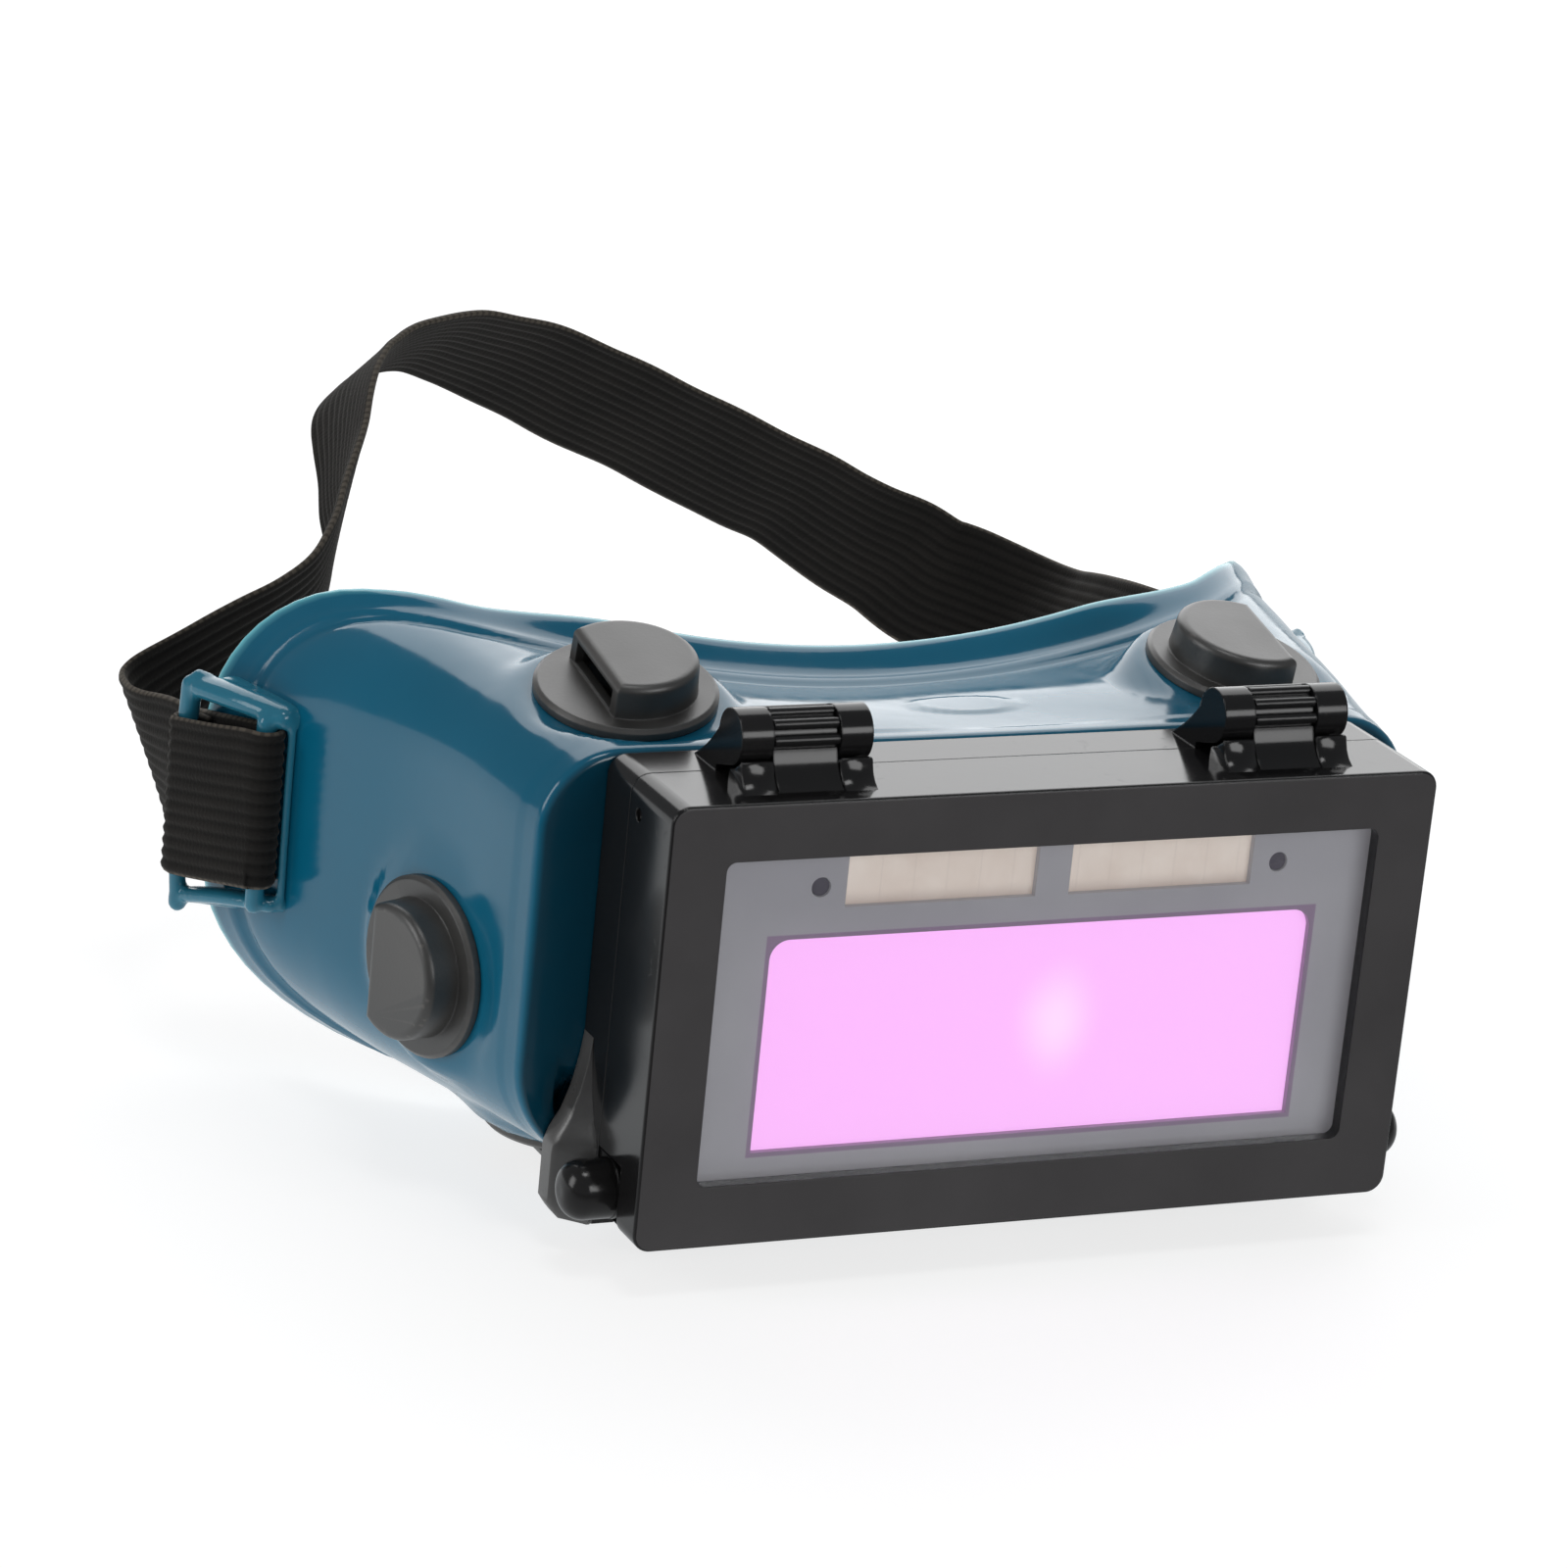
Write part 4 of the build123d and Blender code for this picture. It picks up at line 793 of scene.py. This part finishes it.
# ------------------------------------------------------------------ webbing
strap_stations = [
    (-90.00, 84.00, 5.99, -0.004, 0.007, 1.000),
    (-93.35, 90.95, 4.66, -0.014, 0.002, 1.000),
    (-95.38, 98.30, 2.88, -0.031, -0.003, 0.999),
    (-95.58, 106.00, 1.52, -0.047, -0.005, 0.998),
    (-94.18, 113.68, 1.40, -0.087, 0.002, 1.007),
    (-94.21, 121.24, 0.44, -0.231, -0.004, 0.965),
    (-94.01, 128.89, 0.12, -0.362, -0.003, 0.932),
    (-91.22, 136.08, 0.86, -0.439, 0.030, 0.896),
    (-85.46, 140.71, 3.10, -0.379, -0.056, 0.915),
    (-78.96, 143.31, 6.28, -0.337, -0.170, 0.922),
    (-72.39, 145.34, 9.72, -0.297, -0.286, 0.911),
    (-65.95, 147.85, 13.08, -0.242, -0.395, 0.887),
    (-60.22, 151.61, 16.60, -0.169, -0.484, 0.862),
    (-56.05, 157.01, 20.39, -0.136, -0.505, 0.853),
    (-52.74, 162.94, 24.26, -0.115, -0.516, 0.850),
    (-49.55, 168.91, 28.13, -0.062, -0.539, 0.840),
    (-47.40, 175.15, 32.12, 0.045, -0.567, 0.825),
    (-45.07, 181.35, 36.19, 0.115, -0.582, 0.805),
    (-42.56, 187.70, 39.84, 0.201, -0.599, 0.773),
    (-39.10, 193.91, 42.70, 0.316, -0.635, 0.710),
    (-33.32, 198.69, 44.79, 0.351, -0.660, 0.665),
    (-26.73, 202.67, 45.92, 0.381, -0.695, 0.606),
    (-19.67, 206.00, 45.63, 0.386, -0.710, 0.584),
    (-12.53, 208.26, 43.49, 0.386, -0.668, 0.632),
    (-5.31, 209.81, 41.01, 0.390, -0.620, 0.678),
    (1.82, 210.75, 37.96, 0.395, -0.585, 0.703),
    (8.87, 211.14, 34.62, 0.403, -0.556, 0.725),
    (16.03, 211.06, 31.47, 0.401, -0.559, 0.724),
    (23.15, 210.76, 28.24, 0.398, -0.568, 0.719),
    (30.21, 210.44, 24.90, 0.401, -0.557, 0.727),
    (37.24, 210.10, 21.48, 0.406, -0.541, 0.738),
    (44.32, 209.69, 18.18, 0.404, -0.547, 0.735),
    (51.47, 209.20, 15.05, 0.397, -0.558, 0.722),
    (58.17, 208.55, 11.14, 0.421, -0.499, 0.753),
    (64.91, 207.74, 7.39, 0.443, -0.414, 0.776),
    (71.73, 206.58, 4.07, 0.478, -0.295, 0.806),
    (77.98, 204.61, 0.13, 0.513, -0.157, 0.794),
    (84.39, 201.18, -2.11, 0.581, -0.018, 0.779),
    (89.27, 195.32, -3.41, 0.655, 0.050, 0.756),
    (91.57, 187.87, -3.49, 0.616, 0.038, 0.787),
    (92.24, 180.21, -2.61, 0.535, 0.038, 0.844),
    (92.53, 172.58, -1.43, 0.443, 0.043, 0.895),
    (93.24, 164.95, -0.39, 0.352, 0.040, 0.935),
    (94.44, 157.34, 0.45, 0.262, 0.029, 0.964),
    (95.68, 149.72, 1.15, 0.171, 0.017, 0.984),
    (96.20, 142.00, 1.49, 0.077, 0.011, 0.997),
]
FP, RP, WR = np.array([-90.0, 87.6]), np.array([-96.4, 104.2]), 1.5 + 0.25 + 0.65
dv_ = (RP - FP) / np.linalg.norm(RP - FP)
no_ = np.array([-dv_[1], dv_[0]])                 # away from the skin
zf, zr = 5.2, 2.0
up = (0.0, 0.0, 1.0)
rows_s = []


def turn(c, r, a0, a1, z, k=8, side=1):
    """ribbon rows round a post, angle measured from the outward normal towards the rear"""
    out = []
    for i in range(k + 1):
        t = math.radians(a0 + (a1 - a0) * i / k)
        p = c + r * (no_ * math.cos(t) + dv_ * math.sin(t))
        out.append((side * -p[0] if side > 0 else p[0], p[1], z, *up))
    return out


# left: the end is tucked inside the rear post, comes round it, runs forward on
# the outside, wraps the front post and goes back inside to the head
L_ = lambda c, r, a0, a1, z, k=8: [(q[0], q[1], q[2], *up) for q in turn(c, r, a0, a1, z, k, -1)]
tail = RP - no_ * (WR - 0.1) - dv_ * 2.2
rows_s.append((tail[0], tail[1], zr, *up))
rows_s += L_(RP, WR - 0.1, 176, 6, zr, 9)
mid_ = (FP + RP) / 2 + no_ * (WR + 0.25)
rows_s.append((mid_[0], mid_[1], (zf + zr) / 2, *up))
rows_s += L_(FP, WR, -4, -172, zf, 9)
for f, off in ((0.33, WR + 0.2), (0.66, WR + 0.9), (0.92, WR + 1.55)):
    q = FP + (RP - FP) * f - no_ * off
    rows_s.append((q[0], q[1], zf + (zr - zf) * f, *up))
rows_s.append((-93.3, 108.6, 1.5, -0.02, 0.0, 1.0))
rows_s += strap_stations[4:]
rows_s += [(96.2, yy, 1.5, 0, 0, 1) for yy in (136.0, 124.0, 112.0)]
rows_s += [(95.3, 108.4, 1.6, 0, 0, 1), (94.0, 104.4, 2.0, 0, 0, 1)]
q = (FP + RP) / 2 + no_ * (-0.3)
rows_s.append((-q[0], q[1], 3.4, *up))
R2 = lambda c, r, a0, a1, z, k=8: [(-q[0], q[1], q[2], *up) for q in turn(c, r, a0, a1, z, k, -1)]
rows_s += R2(FP, WR, 6, -172, zf, 9)
rows_s += [(90.0, 97.0, 3.4, 0, 0, 1), (92.3, 104.2, 2.0, 0, 0, 1), (93.4, 108.2, 1.6, 0, 0, 1), (94.45, 112.0, 1.5, 0, 0, 1), (94.45, 124.0, 1.5, 0, 0, 1), (94.45, 141.0, 1.5, 0, 0, 1)]
R_ = np.array(rows_s, float)


def catmull(P, step):
    """resampled Catmull-Rom (centripetal) through the rows"""
    out = []
    n = len(P)
    for i in range(n - 1):
        p0, p1, p2, p3 = P[max(i - 1, 0)], P[i], P[i + 1], P[min(i + 2, n - 1)]
        L = np.linalg.norm(p2[:3] - p1[:3])
        k = max(1, int(round(L / step)))
        d1 = max(np.linalg.norm(p1[:3] - p0[:3]), 1e-6)
        d2 = max(L, 1e-6)
        d3 = max(np.linalg.norm(p3[:3] - p2[:3]), 1e-6)
        m1 = (p2 - p0) / (d1 + d2) * d2 if i > 0 else (p2 - p1)
        m2 = (p3 - p1) / (d2 + d3) * d2 if i < n - 2 else (p2 - p1)
        for q in range(k):
            s = q / k
            out.append((2 * s ** 3 - 3 * s ** 2 + 1) * p1 + (s ** 3 - 2 * s ** 2 + s) * m1 + (-2 * s ** 3 + 3 * s ** 2) * p2 + (s ** 3 - s ** 2) * m2)
    out.append(P[-1])
    return np.array(out)


C = catmull(R_, 0.8)
P, Rv = C[:, :3], C[:, 3:]
T = np.gradient(P, axis=0)
T /= np.linalg.norm(T, axis=1)[:, None]
Rv = Rv - T * (Rv * T).sum(1)[:, None]
Rv /= np.linalg.norm(Rv, axis=1)[:, None]
Nn = np.cross(T, Rv)
arc_len = np.r_[0, np.cumsum(np.linalg.norm(np.diff(P, axis=0), axis=1))]
# cross-section: ribbed both sides, soft selvedges
W2, NRIB = 12.5, 13
prof = []
na = NRIB * 6
for i in range(na + 1):
    v = -W2 + 2 * W2 * i / na
    rib = 0.5 + 0.5 * math.cos(2 * math.pi * (v / (2 * W2 / NRIB)))
    edge = min(1.0, (W2 - abs(v)) / 0.8)
    th = (0.40 + 0.30 * rib) * (0.45 + 0.55 * math.sqrt(max(edge, 0)))
    prof.append((v, th))
prof = prof + [(v, -th) for v, th in reversed(prof[1:-1])]
prof = np.array(prof)
npf = len(prof)
VV = P[:, None, :] + Rv[:, None, :] * prof[None, :, 0, None] + Nn[:, None, :] * prof[None, :, 1, None]
# slight slackness along the selvedges
wob = 0.16 * np.sin(arc_len[:, None] * 0.33 + np.sign(prof[None, :, 0]) * 1.1) * (np.abs(prof[None, :, 0]) / W2) ** 4
ramp_w = smooth(0, 30, arc_len - arc_len[0]) * smooth(0, 60, arc_len[-1] - arc_len)
VV = VV + Nn[:, None, :] * (wob * ramp_w[:, None])[..., None]
m_ = len(P)
F = []
for j in range(m_ - 1):
    for i in range(npf):
        F.append((j * npf + i, j * npf + (i + 1) % npf, (j + 1) * npf + (i + 1) % npf, (j + 1) * npf + i))
F.append(tuple(range(npf))[::-1])
F.append(tuple((m_ - 1) * npf + i for i in range(npf)))
uvs = [(arc_len[j] * S, prof[i, 0] * S) for j in range(m_) for i in range(npf)]
strap = new_mesh("head_webbing", VV.reshape(-1, 3) * S, F, M_WEB, uv=uvs)
recalc(strap)
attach(strap, "goggle")
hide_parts("head_strap")

# concave flare between the housing flank and each lower corner
XG = np.array([(-4.0, 61.1), (-9.0, 61.5), (-12.0, 61.9), (-16.5, 62.8), (-20.5, 64.2), (-23.0, 65.7), (-25.2, 66.5), (-29.5, 66.5), (-33.6, 66.5), (-35.0, 65.6), (-36.2, 64.6)])
for sx, nm in ((-1, "corner_flare_left"), (1, "corner_flare_right")):
    vs, fs = [], []
    zs_ = np.linspace(-4.0, -36.2, 38)
    for zz in zs_:
        xg = np.interp(-zz, -XG[:, 0], XG[:, 1]) + 0.05
        y0 = max(15.75, 20.6 - (xg - 61.45) * 1.1)
        ringp = [(61.0, 23.88), (61.0, y0)]
        for k in range(9):
            t = k / 8
            ringp.append((61.45 + (xg - 61.45) * t ** 1.05, y0 + (20.3 - y0) * t))
        ringp.append((xg, 23.88))
        for (px_, py_) in ringp:
            vs.append((sx * px_, py_, zz))
    nP = 12
    for j in range(len(zs_) - 1):
        for i in range(nP):
            fs.append((j * nP + i, j * nP + (i + 1) % nP, (j + 1) * nP + (i + 1) % nP, (j + 1) * nP + i))
    fs.append(tuple(range(nP))[::-1])
    fs.append(tuple((len(zs_) - 1) * nP + i for i in range(nP)))
    fl = new_mesh(nm, np.array(vs) * S, fs, M_FLARE)
    recalc(fl)
    fl.data.set_sharp_from_angle(angle=math.radians(45))
    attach(fl, "goggle")

# feet of the hinge: cupped pads on the flip frame under each ear
for hx in (-38.6, 38.6):
    for s_ in (-1, 1):
        x0 = hx + s_ * 7.7
        prof_f = [(3.0, 33.35), (3.9, 33.75), (5.0, 34.5), (5.9, 35.6), (6.35, 36.8), (6.5, 37.4), (6.9, 37.5), (7.15, 37.1)]
        for k in range(7):
            t = math.radians(222 + 40 * k / 6)
            prof_f.append((11 + 4.55 * math.cos(t), 40 + 4.55 * math.sin(t)))
        prof_f.append((10.6, 33.35))
        nP = len(prof_f)
        wv_ = [(-2.55, 0.0), (-2.35, 0.25), (2.35, 0.25), (2.55, 0.0)]
        vs, fs = [], []
        cy, cz = np.mean([q[0] for q in prof_f]), 33.4
        for wx, g in wv_:
            for (yy, zz) in prof_f:
                k_ = 1.0 if g else 0.93
                vs.append((x0 + wx, cy + (yy - cy) * k_, cz + (zz - cz) * k_))
        for r_ in range(3):
            for i in range(nP):
                fs.append((r_ * nP + i, r_ * nP + (i + 1) % nP, (r_ + 1) * nP + (i + 1) % nP, (r_ + 1) * nP + i))
        fs.append(tuple(range(nP))[::-1])
        fs.append(tuple(3 * nP + i for i in range(nP)))
        pad = new_mesh("hinge_foot", np.array(vs) * S, fs, M_GLOSS)
        recalc(pad)
        pad.data.set_sharp_from_angle(angle=math.radians(50))
        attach(pad, "flip_front")


# ------------------------------------------------------------------ stage
lo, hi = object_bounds()
floor_z = float(lo[2]) - 0.0005
s = 6.0
me = bpy.data.meshes.new("floor")
N = 2
me.from_pydata([(-s, -s, floor_z), (s, -s, floor_z), (s, s, floor_z), (-s, s, floor_z)], [], [(0, 1, 2, 3)])
floor = bpy.data.objects.new("floor", me)
bpy.context.scene.collection.objects.link(floor)
fm = Mat("floor_paper")
nzf = fm.noise(3.0, 3, 0.5)
fc = fm.mix(fm.maprange(nzf, 0.3, 0.7, 0, 1), (0.93, 0.93, 0.93), (0.96, 0.96, 0.96))
fb = fm.bsdf(**{"Base Color": fc, "Roughness": 0.9, "Specular IOR Level": 0.1})
flp = fm.n("ShaderNodeLightPath")
fgeo = fm.n("ShaderNodeNewGeometry")
fpos = fm.sep(fgeo.outputs["Position"])
white = fm.n("ShaderNodeEmission")
white.inputs[0].default_value = (1, 1, 1, 1)
white.inputs[1].default_value = 1.22
cam_mix = fm.n("ShaderNodeMixShader")
cam_mix.inputs[0].default_value = 0.62
fm.link(fb.outputs[0], cam_mix.inputs[1])
fm.link(white.outputs[0], cam_mix.inputs[2])
# what glossy surfaces see: paper in front falls off dark, paper behind stays bright
refl = fm.n("ShaderNodeEmission")
refl.inputs[0].default_value = (0.95, 0.98, 1.0, 1)
fm.link(fm.maprange(fpos[1], -0.10, 0.12, 0.10, 0.85, True), refl.inputs[1])
gl_mix = fm.n("ShaderNodeMixShader")
fm.link(flp.outputs["Is Glossy Ray"], gl_mix.inputs[0])
fm.link(cam_mix.outputs[0], gl_mix.inputs[1])
fm.link(refl.outputs[0], gl_mix.inputs[2])
me.materials.append(fm.done(gl_mix.outputs[0]))


def area(name, loc, target, size, power, color=(1, 1, 1), size_y=None):
    l = bpy.data.lights.new(name, "AREA")
    l.energy = power
    l.color = color
    l.shape = "RECTANGLE"
    l.size = size
    l.size_y = size_y or size
    o = bpy.data.objects.new(name, l)
    bpy.context.scene.collection.objects.link(o)
    o.location = loc
    o.visible_camera = False
    o.rotation_euler = (Vector(target) - Vector(loc)).to_track_quat("-Z", "Y").to_euler()
    return o


c0 = (0.0, 0.06, 0.0)
area("back_panel", (0.66, 1.55, 1.08), (0.0, 0.05, 0.0), 2.5, 37.0, size_y=2.35)
area("key_top", (-0.15, -0.35, 1.5), c0, 0.5, 3.0, size_y=0.35)
area("side_left", (-1.35, 0.10, 0.55), c0, 0.55, 4.8, size_y=0.8)
area("fill_front", (0.55, -1.5, 0.60), c0, 0.9, 7.0, size_y=0.6)

w = bpy.data.worlds.new("world")
bpy.context.scene.world = w
w.use_nodes = True
nt = w.node_tree
nt.nodes.clear()
wo = nt.nodes.new("ShaderNodeOutputWorld")
bgc = nt.nodes.new("ShaderNodeBackground")
bgc.inputs[0].default_value = (1, 1, 1, 1)
bgc.inputs[1].default_value = 1.0
bgr = nt.nodes.new("ShaderNodeBackground")
bgr.inputs[0].default_value = (0.80, 0.83, 0.86, 1)
bgr.inputs[1].default_value = 0.26
lp = nt.nodes.new("ShaderNodeLightPath")
mx = nt.nodes.new("ShaderNodeMixShader")
nt.links.new(lp.outputs["Is Camera Ray"], mx.inputs[0])
nt.links.new(bgr.outputs[0], mx.inputs[1])
nt.links.new(bgc.outputs[0], mx.inputs[2])
nt.links.new(mx.outputs[0], wo.inputs[0])
bpy.context.scene.view_settings.view_transform = "Standard"

cam = bpy.data.cameras.new("camera")
co = bpy.data.objects.new("camera", cam)
bpy.context.scene.collection.objects.link(co)
rot = Matrix(((0.91052, 0.04348, -0.41116), (-0.40244, 0.32126, -0.85723), (0.09482, 0.94599, 0.31001)))
co.matrix_world = Matrix.Translation((-0.37891, -0.69605, 0.28815)) @ rot.to_4x4()
cam.sensor_width = 36.0
cam.lens = 133.34
cam.clip_start = 0.01
cam.clip_end = 50
bpy.context.scene.camera = co
